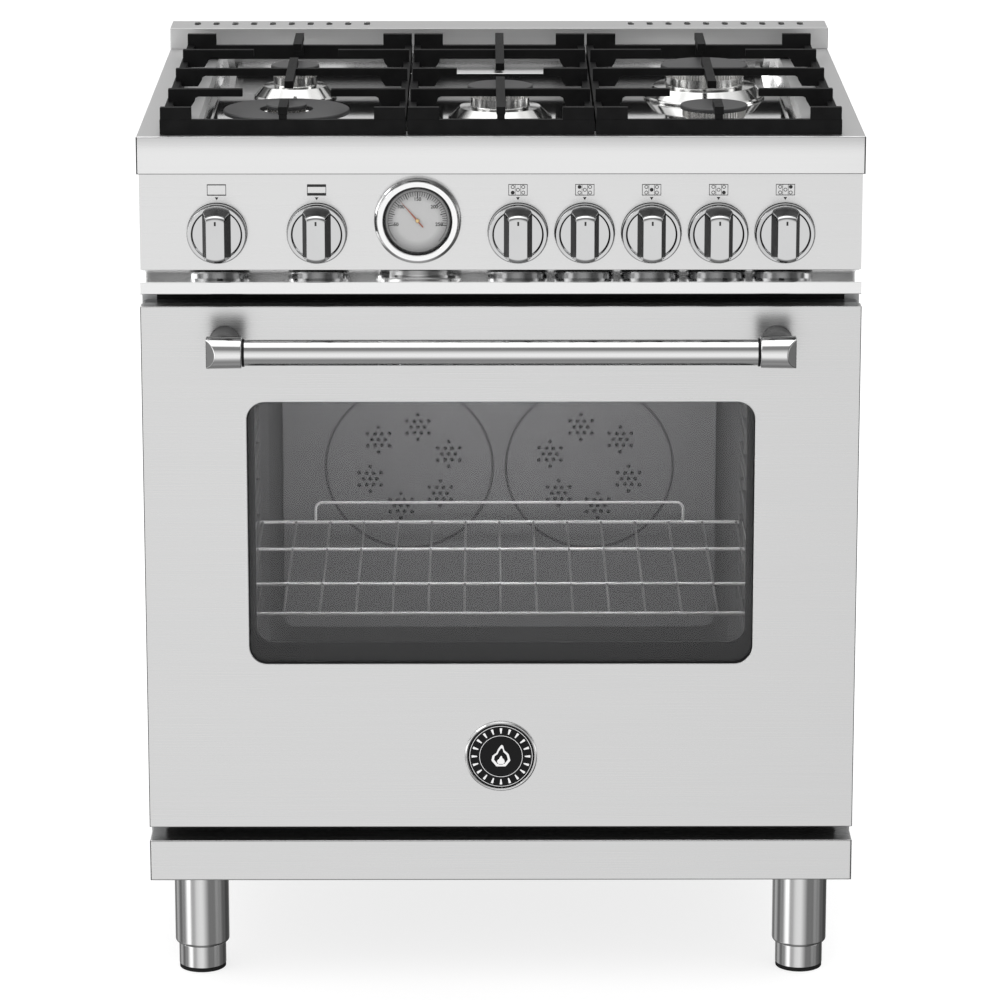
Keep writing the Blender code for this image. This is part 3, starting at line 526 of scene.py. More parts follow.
class Nodes:
    """A node tree being made, with short ways to add and join nodes."""

    def __init__(self, tree):
        self.tree = tree

    def node(self, kind, *sources, **settings):
        """A node whose first inputs take the sources. A setting is a property or an input's value."""
        made = self.tree.nodes.new("ShaderNode" + kind)
        for key, value in settings.items():
            if hasattr(made, key):
                setattr(made, key, value)
            else:
                made.inputs[key.replace("_", " ")].default_value = value
        for i, source in enumerate(sources):
            self.link(source, made.inputs[i])
        return made

    def link(self, source, target):
        self.tree.links.new(source, target)

    def ramp(self, source, stops):
        """The colour that (position, colour) stops give along the source."""
        ramp = self.node("ValToRGB", source)
        elements = ramp.color_ramp.elements
        for position, _ in stops[1:-1]:
            elements.new(position)
        for element, (position, colour) in zip(elements, stops, strict=True):
            element.position = position
            element.color = (*colour, 1)
        return ramp.outputs["Color"]


class Finish(Nodes):
    """A material being made: its Principled shader and the nodes that vary it."""

    def __init__(self, name, colour, metallic, roughness, **sockets):
        self.material = bpy.data.materials.new(name)
        self.material.use_nodes = True
        super().__init__(self.material.node_tree)
        self.place = self.node("TexCoord").outputs["Object"]
        self.colour = colour
        sockets.update(Base_Color=(*colour, 1), Metallic=metallic, Roughness=roughness)
        for key, value in sockets.items():
            self.socket(key.replace("_", " ")).default_value = value

    def socket(self, name):
        return self.tree.nodes["Principled BSDF"].inputs[name]

    def grain(self, stretch=EVEN, scale=1.0, detail=2.0):
        """Noise in object space, squeezed by a factor along each axis."""
        mapping = self.node("Mapping", self.place, Scale=stretch)
        return self.node("TexNoise", mapping.outputs["Vector"], Scale=scale, Detail=detail).outputs["Fac"]

    def cells(self, scale, output):
        """Cells in object space: a shade for each, or the distance to their middles."""
        return self.node("TexVoronoi", self.place, Scale=scale).outputs[output]

    def blend(self, source, dark, light, low=0.3, high=0.7):
        """Colour that runs from dark to light as the source goes from low to high."""
        self.link(self.ramp(source, ((low, dark), (high, light))), self.socket("Base Color"))

    def tint(self, source, dark, light, low=0.3, high=0.7):
        """The same between two factors on the base colour."""
        dark, light = ([c * factor for c in self.colour] for factor in (dark, light))
        self.blend(source, dark, light, low, high)

    def roughen(self, source, low, high, start=0.25, end=0.75):
        spread = self.node("MapRange", source, From_Min=start, From_Max=end, To_Min=low, To_Max=high)
        self.link(spread.outputs["Result"], self.socket("Roughness"))

    def bump(self, source, strength, distance):
        bump = self.node("Bump", Strength=strength, Distance=distance)
        self.link(source, bump.inputs["Height"])
        self.link(bump.outputs["Normal"], self.socket("Normal"))


def mottled(name, colour, metallic, roughness, grain, tint=None, rough=None, bump=None, **sockets):
    """A material with one noise that tints it, roughens it and dents it, each where given."""
    finish = Finish(name, colour, metallic, roughness, **sockets)
    noise = finish.grain(*grain)
    for vary, amounts in ((finish.tint, tint), (finish.roughen, rough), (finish.bump, bump)):
        if amounts:
            vary(noise, *amounts)
    return finish.material


def brushed(name, colour, stretch, roughness, contrast, metallic=1.0):
    """Steel with fine lines along the axis whose stretch is smallest."""
    tint = (1 - contrast, 1 + contrast)
    rough = (roughness - 0.02, roughness + 0.02)
    return mottled(name, colour, metallic, roughness, (stretch, 1, 3), tint, rough, (0.012, 0.0001))


def cooktop_steel(name, colour):
    """Brushed sheet whose pressed basin is shinier than its rim."""
    finish = Finish(name, colour, 1.0, 0.3)
    lines = finish.grain((6, 1500, 1500), detail=3.0)
    finish.tint(lines, 0.99, 1.01)
    finish.bump(lines, 0.012, 0.0001)
    height = finish.node("SeparateXYZ", finish.place).outputs["Z"]
    finish.roughen(height, 0.06, 0.4, BASIN_FLOOR + 0.004, TOP - 0.004)
    return finish.material


def spangled(name, colour):
    """Zinc-coated sheet: faint crystals, each a little lighter or darker than the next."""
    finish = Finish(name, colour, 0.55, 0.42)
    shade = finish.cells(150.0, "Color")
    finish.tint(shade, 0.955, 1.035, 0.0, 1.0)
    finish.roughen(shade, 0.38, 0.46)
    finish.bump(finish.grain(scale=260.0), 0.03, 0.0002)
    return finish.material


def polished(name, colour, roughness):
    """Bright metal with faint cloudy wear."""
    rough = (roughness * 0.7, roughness * 1.4)
    return mottled(name, colour, 1.0, roughness, ((30, 30, 30), 1, 4), (0.97, 1.0), rough)


def cast(name, colour, roughness):
    """Sand-cast iron under matte enamel."""
    finish = Finish(name, colour, 0.0, roughness, Specular_IOR_Level=0.13)
    grit = finish.grain(scale=900.0, detail=3.0)
    finish.tint(finish.grain(scale=55.0), 0.75, 1.3)
    finish.roughen(grit, roughness - 0.08, roughness + 0.1)
    finish.bump(grit, 0.35, 0.0003)
    return finish.material


def enamelled(name, colour, fleck, roughness):
    """Vitreous enamel with pale flecks."""
    finish = Finish(name, colour, 0.0, roughness, Coat_Weight=0.25, Coat_Roughness=0.08)
    finish.blend(finish.cells(700.0, "Distance"), fleck, colour, 0.1, 0.22)
    finish.bump(finish.grain(scale=220.0), 0.04, 0.0003)
    return finish.material


def painted(name, colour, roughness, gloss=0.5):
    """Smooth paint with a slight orange peel."""
    peel = {"tint": (0.92, 1.06), "bump": (0.08, 0.0002), "Specular_IOR_Level": gloss}
    return mottled(name, colour, 0.0, roughness, (EVEN, 350), **peel)


def satin_wire(name, colour, metallic=0.35):
    """Nickel-plated wire that has gone a little dull in the heat."""
    return mottled(name, colour, metallic, 0.38, (EVEN, 60, 4), (0.85, 1.0), (0.32, 0.46))


def dial_face(name, colour, centre, radius):
    """Printed metal with painted shade that darkens it towards its rim."""
    finish = Finish(name, colour, 0.0, 0.45)
    shift = (-centre[0] / radius, 0, -centre[1] / radius)
    mapping = finish.node("Mapping", finish.place, Scale=(1 / radius, 0, 1 / radius), Location=shift)
    distance = finish.node("VectorMath", mapping.outputs["Vector"], operation="LENGTH")
    finish.tint(distance.outputs["Value"], 1.0, 0.35, 0.62, 1.0)
    finish.bump(finish.grain(scale=350.0), 0.05, 0.0001)
    return finish.material


def rubbery(name, colour):
    """Matt rubber with a little dust on it."""
    dust = {"tint": (1.0, 1.8), "bump": (0.2, 0.0003), "Specular_IOR_Level": 0.12}
    return mottled(name, colour, 0.0, 0.72, (EVEN, 160, 5), **dust)


def smoked_glass(name, colour, alpha):
    """A tinted pane that shows what is behind it."""
    clear = {"Alpha": alpha, "IOR": 1.5, "Specular_IOR_Level": 0.9}
    return mottled(name, colour, 0.0, 0.03, ((6, 6, 6), 1, 5), None, (0.02, 0.05), **clear)


def make_finishes():
    along_x = (6, 1500, 1500)
    light_steel = (0.7, 0.7, 0.7)
    near_black = (0.055, 0.055, 0.056)
    LOOKS.update(
        steel=brushed("brushed_steel_x", (0.66, 0.66, 0.66), along_x, 0.28, 0.008),
        steel_panel=brushed("brushed_steel_panel", light_steel, along_x, 0.26, 0.008),
        steel_ledge=brushed("brushed_steel_ledge", (0.74, 0.74, 0.74), (1500, 6, 1500), 0.09, 0.02),
        steel_top=cooktop_steel("brushed_steel_top", light_steel),
        steel_round=brushed("brushed_steel_tube", (0.72, 0.72, 0.72), (9, 1500, 1500), 0.09, 0.01),
        steel_leg=brushed("brushed_steel_leg", (0.62, 0.62, 0.62), (1500, 1500, 8), 0.15, 0.02),
        galvanised=spangled("galvanised_sheet", (0.46, 0.465, 0.47)),
        frame=brushed("frame_sheet", (0.16, 0.16, 0.165), (60, 60, 60), 0.45, 0.1, 0.8),
        chrome=polished("chrome", (0.57, 0.572, 0.575), 0.04),
        # A copy of chrome brightened to paint the light on the gauge case and the badge rim.
        bezel_chrome=polished("bezel_chrome", (0.84, 0.84, 0.84), 0.05),
        # A copy of chrome darkened to paint shade lines at sheet folds and in the gauge's throat.
        dark_chrome=polished("dark_chrome", near_black, 0.16),
        # Near-black paint for painted shade: a shadow line under the fascia and the grooves round the
        # fans.
        groove=painted("groove_enamel", near_black, 0.45, 0.3),
        # Dark paint for the painted dark reflections on the sides of the knobs' grips.
        flank=painted("knob_flank", (0.022, 0.022, 0.022), 0.5, 0.15),
        # Dark chrome that paints dark reflections: on the knob brows, and on the handle stems and post
        # backs that the door mirrors.
        stem=polished("dark_stem", (0.035, 0.035, 0.036), 0.34),
        burner=polished("polished_burner", (0.74, 0.74, 0.73), 0.13),
        alloy=polished("cast_alloy", (0.82, 0.81, 0.79), 0.28),
        brass=polished("brass", (0.7, 0.5, 0.24), 0.22),
        iron=cast("cast_iron", (0.0045, 0.0045, 0.0047), 0.55),
        cap=painted("cap_enamel", (0.03, 0.03, 0.031), 0.42),
        enamel=enamelled("oven_enamel", (0.19, 0.19, 0.195), (0.21, 0.21, 0.215), 0.34),
        liner=enamelled("liner_enamel", (0.035, 0.035, 0.038), (0.12, 0.12, 0.13), 0.28),
        # Lit and shaded copies of one wire: the rack's rim, spans and stop painted bright, its rods and
        # the side ladders painted dark.
        wire=satin_wire("rack_wire", (0.95, 0.95, 0.95), 0.05),
        rod=satin_wire("rack_rod", (0.26, 0.26, 0.26)),
        guide=satin_wire("guide_wire", (0.22, 0.22, 0.22)),
        glass=smoked_glass("oven_glass", (0.03, 0.03, 0.031), 0.22),
        clear=smoked_glass("gauge_glass", (0.9, 0.9, 0.9), 0.02),
        dial=dial_face("dial_face", (0.46, 0.46, 0.46), GAUGE, DIAL_RADIUS),
        ceramic=painted("igniter_ceramic", (0.66, 0.64, 0.6), 0.35),
        # Black ink for print, and for the painted shade in screw recesses and louvre slots.
        ink=painted("black_ink", (0.015, 0.015, 0.015), 0.5),
        needle=painted("needle_paint", (0.3, 0.085, 0.045), 0.45),
        # Black enamel for the black parts, and for the painted shade of the knob rings and the discs
        # behind the fans.
        black=painted("black_enamel", (0.006, 0.006, 0.0065), 0.3, 0.12),
        # Rubber for the feet and the door seal, and for the painted shade in the gaps round the door.
        rubber=rubbery("foot_rubber", (0.007, 0.007, 0.007)),
    )


# Stage


def make_camera():
    data = bpy.data.cameras.new("camera")
    data.sensor_width = SENSOR
    data.lens = LENS
    data.clip_start, data.clip_end = 0.05, 60.0
    bpy.context.scene.camera = aimed("camera", data, CAMERA_PLACE, CAMERA_TARGET)


def grey_ramp(room, source, stops):
    """Greys from (position, value) stops, scaled so that the brightest is 1, and that scale."""
    brightest = max(value for _, value in stops)
    greys = [(position, (value / brightest,) * 3) for position, value in stops]
    return room.ramp(source, greys), brightest


def studio_colour(room):
    """What gloss sees: a band round the room from below, by the front and the ceiling, to the back."""
    right, back, up = room.node("SeparateXYZ", room.node("TexCoord").outputs["Generated"]).outputs
    ahead = room.node("Math", back, operation="MULTIPLY")
    ahead.inputs[1].default_value = -1.0
    rise = room.node("Math", up, ahead.outputs["Value"], operation="ARCTAN2").outputs["Value"]
    turn = room.node("MapRange", rise, From_Min=-math.pi, From_Max=math.pi).outputs["Result"]
    across = room.node("MapRange", right, From_Min=-1.0).outputs["Result"]
    bands = [((degrees + 180) / 360, value) for degrees, value in ROOM_BY_HEIGHT]
    sides = [((x + 1) / 2, value) for x, value in ROOM_BY_SIDE]
    first, first_top = grey_ramp(room, turn, bands)
    second, second_top = grey_ramp(room, across, sides)
    both = room.node("Mix", data_type="RGBA", blend_type="MULTIPLY", Factor=1.0)
    room.link(first, both.inputs["A"])
    room.link(second, both.inputs["B"])
    return both.outputs["Result"], first_top * second_top


def make_world():
    """A white room, whose reflections show softboxes and dark gaps between them."""
    world = bpy.data.worlds.new("studio")
    bpy.context.scene.world = world
    world.use_nodes = True
    world.node_tree.nodes.clear()
    room = Nodes(world.node_tree)
    colour, strength = studio_colour(room)
    plain = room.node("Background", Color=(1, 1, 1, 1), Strength=ROOM_BRIGHTNESS).outputs[0]
    studio = room.node("Background", colour, Strength=strength).outputs[0]
    glossy = room.node("LightPath").outputs["Is Glossy Ray"]
    room.node("OutputWorld", room.node("MixShader", glossy, plain, studio).outputs[0])


def make_floor():
    bm = bmesh.new()
    bm.faces.new([bm.verts.new((x, y, 0)) for x, y in ((-9, -7), (9, -7), (9, 6), (-9, 6))])
    floor = new_object("floor", to_mesh(bm))
    glow = {"Emission_Color": (1, 1, 1, 1), "Emission_Strength": 0.78}
    finish = Finish("pale_floor", (0.28, 0.28, 0.28), 0.0, 0.9, **glow)
    finish.blend(finish.grain(scale=3.0, detail=4.0), (0.27, 0.27, 0.27), (0.29, 0.29, 0.29))
    floor.data.materials.append(finish.material)
    floor.visible_glossy = False


def softbox(name, place, target, size, power):
    data = bpy.data.lights.new(name, "AREA")
    data.shape = "RECTANGLE"
    data.size, data.size_y = size
    data.energy = power
    return aimed(name, data, place, target)


def make_lights():
    softbox("key", (-2.6, -2.0, 3.0), (0, 0, 0.5), (1.2, 1.6), 12)
    softbox("top", (0.2, 1.1, 3.3), (0, 0, 0.7), (5.0, 3.6), 34)
    oven_lamps = [
        softbox("oven_lamp", (0.0, -0.06, 0.695), (0.0, 0.2, 0.5), (0.42, 0.12), 3.2),
        softbox("rack_lamp", (0.0, -0.215, 0.668), (0.0, -0.185, 0.39), (0.5, 0.03), 1.3),
    ]
    for lamp in oven_lamps:
        lamp.visible_glossy = False


# Carried CAD nodes


def soften(obj, width):
    """Round the edges of a CAD node for the eye; its own mesh stays as it is."""
    weld = obj.modifiers.new("weld", "WELD")
    weld.merge_threshold = 0.00002
    bevel = obj.modifiers.new("round_edges", "BEVEL")
    bevel.width = width
    bevel.segments = 2
    bevel.limit_method = "ANGLE"
    bevel.angle_limit = math.radians(30)
    bevel.harden_normals = True


def dress_frame(nodes):
    """Finishes for the CAD nodes that are shown, and softer edges where the light catches them."""
    inside = ["gas_manifold", "fan_left", "fan_right", "bake_burner", "broil_burner"]
    carried = {
        "steel": ["kick_panel"],
        "steel_panel": ["control_panel", "front_ledge"],
        "steel_top": ["cooktop", "vent_trim"],
        "galvanised": ["side_panel_left", "side_panel_right", "back_panel", *inside],
        "frame": ["base_frame", "hinge_arm_left", "hinge_arm_right"],
        "enamel": ["oven_liner"],
        "liner": ["door_liner"],
        "glass": ["door_glass", "door_inner_glass"],
        "iron": ["grate_left", "grate_centre", "grate_right"],
    }
    for finish, names in carried.items():
        for name in names:
            wear(nodes[name].data, finish)
    for finish, width in (("steel", 0.0004), ("steel_top", 0.0004), ("iron", 0.0009)):
        for name in carried[finish]:
            soften(nodes[name], width)


# Cooktop


def gear(radius, depth, teeth):
    """A round outline with square teeth."""
    loop = []
    for i in range(teeth):
        for part, r in ((0.0, radius), (0.5, radius), (0.5, radius - depth), (1.0, radius - depth)):
            loop.append(polar(r, 2 * math.pi * (i + part) / teeth))
    return loop


def burner_section(name, crown_radius, shoulder_radius, foot_radius, crown):
    """Half section of a burner: the crown below the cap, a flared skirt and the foot."""
    section = [(0, crown, 0)]
    if name == WOK:
        section += [(0.031, crown - 0.003, 0), (0.032, crown, 0)]
    section += [
        (crown_radius, crown, 0.0008), (crown_radius, SHOULDER + 0.001, 0.0008),
        (shoulder_radius, SHOULDER, 0.0012), (foot_radius - 0.002, BASIN_FLOOR + 0.0034, 0.001),
        (foot_radius, BASIN_FLOOR + 0.002, 0.0005), (foot_radius, BASIN_FLOOR + GAP, 0),
        (NECK_RADIUS, BASIN_FLOOR + GAP, 0), (NECK_RADIUS, BURNER_BOTTOM + 0.008, 0),
        (NECK_RADIUS - 0.006, BURNER_BOTTOM, 0), (0, BURNER_BOTTOM, 0),
    ]
    return fillet(section)


def cap_section(radius, top, hole=0.0):
    bottom = top - CAP_THICKNESS
    inner_round = 0.001 if hole else 0
    rim = [(radius, top, 0.0016), (radius, bottom, 0.0008)]
    return fillet([(hole, bottom, 0), (hole, top, inner_round), *rim, (hole, bottom, 0)])


def make_burners():
    for name, (x, depth, cap_radius, shoulder_radius, foot_radius, cap_top) in BURNERS.items():
        set_down = at(x, depth, 0)
        crown_radius = min(cap_radius * 0.9, shoulder_radius - 0.0015)
        crown_top = cap_top - CAP_THICKNESS - HAIR
        section = burner_section(name, crown_radius, shoulder_radius, foot_radius, crown_top)
        body = lathe(section, set_down, 96)
        add_piece("flame_" + name, body, "burner", "root", "burner_" + name)
        ports_radius = crown_radius + 0.0012
        teeth = 2 * round(ports_radius * 900)
        ring = [gear(ports_radius, 0.0018, teeth), circle(ports_radius - 0.004)]
        ports = plate(ring, PORT_HEIGHT, at(x, depth, crown_top - PORT_HEIGHT))
        add_piece("ports_" + name, ports, "alloy")
        if name == WOK:
            inner_top = cap_top + WOK_CAP_RISE
            inner = lathe(cap_section(WOK_CAP_RADIUS, inner_top), set_down)
            add_piece("lid_wok_inner", inner, "cap", "root", "cap_wok_inner")
            crown = [gear(0.0205, 0.0022, 24), circle(0.01)]
            crown_mesh = plate(crown, 0.006, at(x, depth, inner_top - CAP_THICKNESS - 0.0062))
            add_piece("crown_wok_inner", crown_mesh, "alloy")
        cap = lathe(cap_section(cap_radius, cap_top, WOK_HOLE if name == WOK else 0.0), set_down, 96)
        add_piece("lid_" + name, cap, "cap", "root", "cap_" + name)


def make_igniters():
    """A ceramic electrode with a steel tip behind each burner."""
    ceramic = fillet([(0, 0.0135, 0), (0.0021, 0.0135, 0.0005), (0.0021, GAP, 0), (0, GAP, 0)])
    tip = [(0, 0.0172), (0.0006, 0.0168), (0.0006, 0.0134), (0, 0.0134)]
    insulators, tips = [], []
    for x, depth, _, _, foot_radius, _ in BURNERS.values():
        set_down = at(x, depth + foot_radius + 0.004, BASIN_FLOOR)
        insulators.append(lathe(ceramic, set_down, 24))
        tips.append(lathe(tip, set_down, 16))
    add_piece("igniter_insulators", merged(insulators), "ceramic")
    add_piece("igniter_tips", merged(tips), "alloy")


# Controls


def grip_mesh():
    """The cross bar of a knob: a slice of a blunt cone, with its edges rounded. Z points at the user."""
    face = [(0, KNOB_LENGTH, 0), (GRIP_FACE_RADIUS, KNOB_LENGTH, GRIP_ROUNDING)]
    dome = fillet([*face, (GRIP_ROOT_RADIUS, GRIP_FOOT, 0), (0, GRIP_FOOT, 0)], 8)
    bm = opened(lathe(dome, None, 120))
    for side in (-1, 1):
        cut_away(bm, (side * GRIP_HALF_WIDTH, 0, KNOB_LENGTH), (side, 0, GRIP_TAPER))
    flat = [f for f in bm.faces if min(v.co.z for v in f.verts) > KNOB_LENGTH - HAIR / 100]
    bmesh.ops.delete(bm, geom=flat, context="FACES")
    close_holes(bm)
    round_sharp(bm, 0.0005, 2, GRIP_FOOT + 0.001)
    return to_mesh(bm)


def grip_flank(side):
    """A dark sheet of painted reflection on one tapered side of the grip."""
    low, high = 0.0118, KNOB_LENGTH - 0.001
    half_low, half_high = 0.0235, 0.0185
    outline = [(-half_low, low), (half_low, low), (half_high, high), (-half_high, high)]
    lean = Matrix.Rotation(-math.atan(GRIP_TAPER), 4, "Y")
    edge = shift(GRIP_HALF_WIDTH, 0, KNOB_LENGTH)
    panel = plate([outline], 0.0003, edge @ lean @ lift(-KNOB_LENGTH) @ UPRIGHT)
    if side < 0:
        panel.transform(Matrix.Diagonal((-1, 1, 1, 1)))
    return panel


def grip_brow():
    """A dark band of painted reflection on the slope above the grip's face."""
    low, high = 0.0135, KNOB_LENGTH - GRIP_ROUNDING - 0.0004
    flare = (GRIP_ROOT_RADIUS - GRIP_FACE_RADIUS) / (KNOB_LENGTH - GRIP_FOOT)
    section = []
    for height, rise in ((high, 0.00015), (low, 0.00015), (low, -0.0003), (high, -0.0003)):
        section.append((GRIP_FACE_RADIUS + flare * (KNOB_LENGTH - height) + rise, height))
    bm = opened(hoop(section, None, 120))
    edge = GRIP_HALF_WIDTH - 0.0004
    for side in (-1, 1):
        cut_away(bm, (side * edge, 0, KNOB_LENGTH), (side, 0, GRIP_TAPER))
    cut_away(bm, (0, 0, KNOB_LENGTH), (0, -1, 0))
    return to_mesh(bm)


def knob_section():
    """Half section of a knob's skirt: a double-stepped rim round a flat dish."""
    return fillet([
        (0, 0.0104, 0), (0.0252, 0.0104, 0.0004), (0.0266, 0.0126, 0.0008), (0.0304, 0.0128, 0.001),
        (KNOB_RADIUS, 0.009, 0.0012), (KNOB_RADIUS, 0.0035, 0.0006), (KNOB_RADIUS - 0.0012, 0.0008, 0),
        (0.01, 0.0004, 0), (0, 0.0004, 0),
    ])


def make_knobs():
    """Turning knobs with painted dark reflections on their grips and with marks, each in a fixed black
    ring of painted shade on the panel.
    """
    face = KNOB_LENGTH - 0.0004
    # The black ring round each knob is painted shade on the panel.
    rim = [(BEZEL_OUTER, 0.0004, 0), (BEZEL_OUTER, 0.0014, 0.0003)]
    bezel = fillet([(BEZEL_INNER, 0.0004, 0), *rim, (BEZEL_INNER, 0.0014, 0)])
    for name, x in KNOBS.items():
        set_down = at(x, PANEL_FACE, KNOB_HEIGHT, TO_FRONT)
        body = "knob_" + name
        knob = merged([lathe(knob_section(), None, 96), grip_mesh()])
        flanks = merged([grip_flank(-1), grip_flank(1)])
        brow = grip_brow()
        mark = slab((-0.001, 0.015, face), (0.001, 0.0193, KNOB_LENGTH + HAIR / 2))
        for mesh in (knob, flanks, brow, mark):
            mesh.transform(set_down)
        add_piece("dial_" + name, knob, "chrome", body, body)
        add_piece("flank_" + name, flanks, "flank", body)
        add_piece("brow_" + name, brow, "stem", body)
        add_piece("bezel_" + name, hoop(bezel, set_down), "black")
        add_piece("mark_" + name, mark, "ink", body)


def make_ledge():
    """The folded ledge under the knobs, whose top slopes down to the front."""
    inner = PANEL_FACE - 0.0006
    outline = fillet([
        (inner, PANEL_BOTTOM - 0.0002, 0), (0, LEDGE_TOP, 0.001), (0, LEDGE_LOW, 0.001),
        (0.018, LEDGE_LOW, 0), (0.018, LEDGE_LOW + SHEET, 0), (SHEET, LEDGE_LOW + SHEET, 0),
        (SHEET, LEDGE_TOP - 0.0006, 0), (inner, PANEL_BOTTOM - 0.0006 - SHEET, 0),
    ])
    half = DOOR_X - 0.0005
    ledge = plate([outline], 2 * half, at(-half, 0, 0, UPRIGHT))
    add_piece("knob_ledge", ledge, "steel_ledge", "root", "front_ledge")


def make_folds():
    """The fascia's return under its lower edge, a strip of painted shadow under it, and dark strips of
    painted shade on the folds at the ends of the front's sheets.
    """
    low = spot(-DOOR_X, 0.0014, FASCIA_BOTTOM)
    high = spot(DOOR_X, PANEL_FACE - HAIR, FASCIA_BOTTOM + SHEET)
    add_piece("fascia_return", slab(low, high, 0.0002), "steel_panel")
    # A dark strip of painted shadow under the fascia's lower edge.
    end = WIDTH / 2 - SHEET
    low, high = spot(-end, -HAIR, FASCIA_BOTTOM), spot(end, SHEET, FASCIA_BOTTOM + SHEET / 2)
    add_piece("fascia_lip", slab(low, high), "groove")
    sheets = {
        "fascia": ("root", WIDTH / 2, 0.0011, FASCIA_BOTTOM, TOP - 0.0006),
        "door": ("door", DOOR_X, 0.0007, DOOR_LOW + 0.0006, DOOR_HIGH - 0.0006),
        "kick": ("root", DOOR_X, 0.0007, KICK_BOTTOM + 0.0006, KICK_TOP - 0.0006),
    }
    for sheet, (body, end, thickness, bottom, top) in sheets.items():
        for name, side in SIDES.items():
            inner, outer = sorted((side * (end - thickness), side * end))
            fold = slab(spot(inner, -HAIR, bottom), spot(outer, 0.0019, top))
            add_piece(f"{sheet}_fold_{name}", fold, "dark_chrome", body)


def make_gap_trims():
    """Black strips of painted shade on the body's face that show in the gaps above and below the door."""
    for name, (low, high) in GAP_TRIMS.items():
        strip = slab(spot(-GAP_TRIM_X, 0.0484, low), spot(GAP_TRIM_X, 0.0497, high), 0.0004)
        add_piece("gap_trim_" + name, strip, "rubber")


def icon_frame(place, bar):
    """Outline of a small oven with thick bars at its top and bottom."""
    half_x, half_z = ICON_HALF
    corners = ((-1, -1), (1, -1), (1, 1), (-1, 1))
    outside = [(sx * half_x, sz * half_z) for sx, sz in corners]
    inside = [(sx * (half_x - ICON_LINE), sz * (half_z - bar)) for sx, sz in corners]
    return plate([outside, inside], HAIR, place)


def icon_burners(place, chosen):
    """Five rings laid out as the burners are, with the knob's own one filled."""
    meshes = [icon_frame(place, 0.0007)]
    for name, (x, z) in ICON_LAYOUT.items():
        radii = ICON_RING[:1] if name == chosen else ICON_RING
        meshes.append(plate([circle(radius, 20, x, z) for radius in radii], HAIR, place))
    half = 0.00024
    for x in (-ICON_DIVIDER_X, ICON_DIVIDER_X):
        meshes.append(slab((x - half, -ICON_HALF[1], 0), (x + half, ICON_HALF[1], HAIR), 0.0, place))
    return merged(meshes)


def make_icons():
    arrow = [(-0.0019, 0.0013), (0.0, -0.0018), (0.0019, 0.0013)]
    for name, x in KNOBS.items():
        place = at(x, PANEL_FACE, ICON_HEIGHT, TO_FRONT)
        bar = ICON_BARS.get(name)
        icon = icon_frame(place, bar) if bar else icon_burners(place, name)
        pointer = plate([arrow], HAIR, at(x, PANEL_FACE, ARROW_HEIGHT, TO_FRONT))
        add_piece("icon_" + name, merged([icon, pointer]), "ink")


def dial_marks():
    """Ticks round the dial, the arc they hang from and generic numbers."""
    meshes = []
    for i in range(TICKS):
        length, width = TICK_SHORT if i % 5 else TICK_LONG
        turn = spin(DIAL_START - i * TICK_STEP)
        meshes.append(slab((TICK_RING - length, -width, 0), (TICK_RING, width, HAIR), 0.0, turn))
    steps = 60
    angles = [math.pi / 2 + ARC_SWEEP * (0.5 - i / steps) for i in range(steps + 1)]
    outer, inner = ARC_RADII
    arc = [polar(outer, a) for a in angles] + [polar(inner, a) for a in reversed(angles)]
    meshes.append(plate([arc], HAIR))
    for i in range(DIAL_NUMBERS):
        text = bpy.data.curves.new("number", "FONT")
        text.body = str(50 + 50 * i)
        text.size = NUMBER_SIZE
        text.offset = 0.00012
        text.extrude = HAIR / 2
        text.align_x = "CENTER"
        text.align_y = "CENTER"
        x, y = polar(NUMBER_RING, DIAL_START - i * NUMBER_STEP)
        meshes.append(from_curve(text, shift(x, y, HAIR / 2)))
    return merged(meshes)


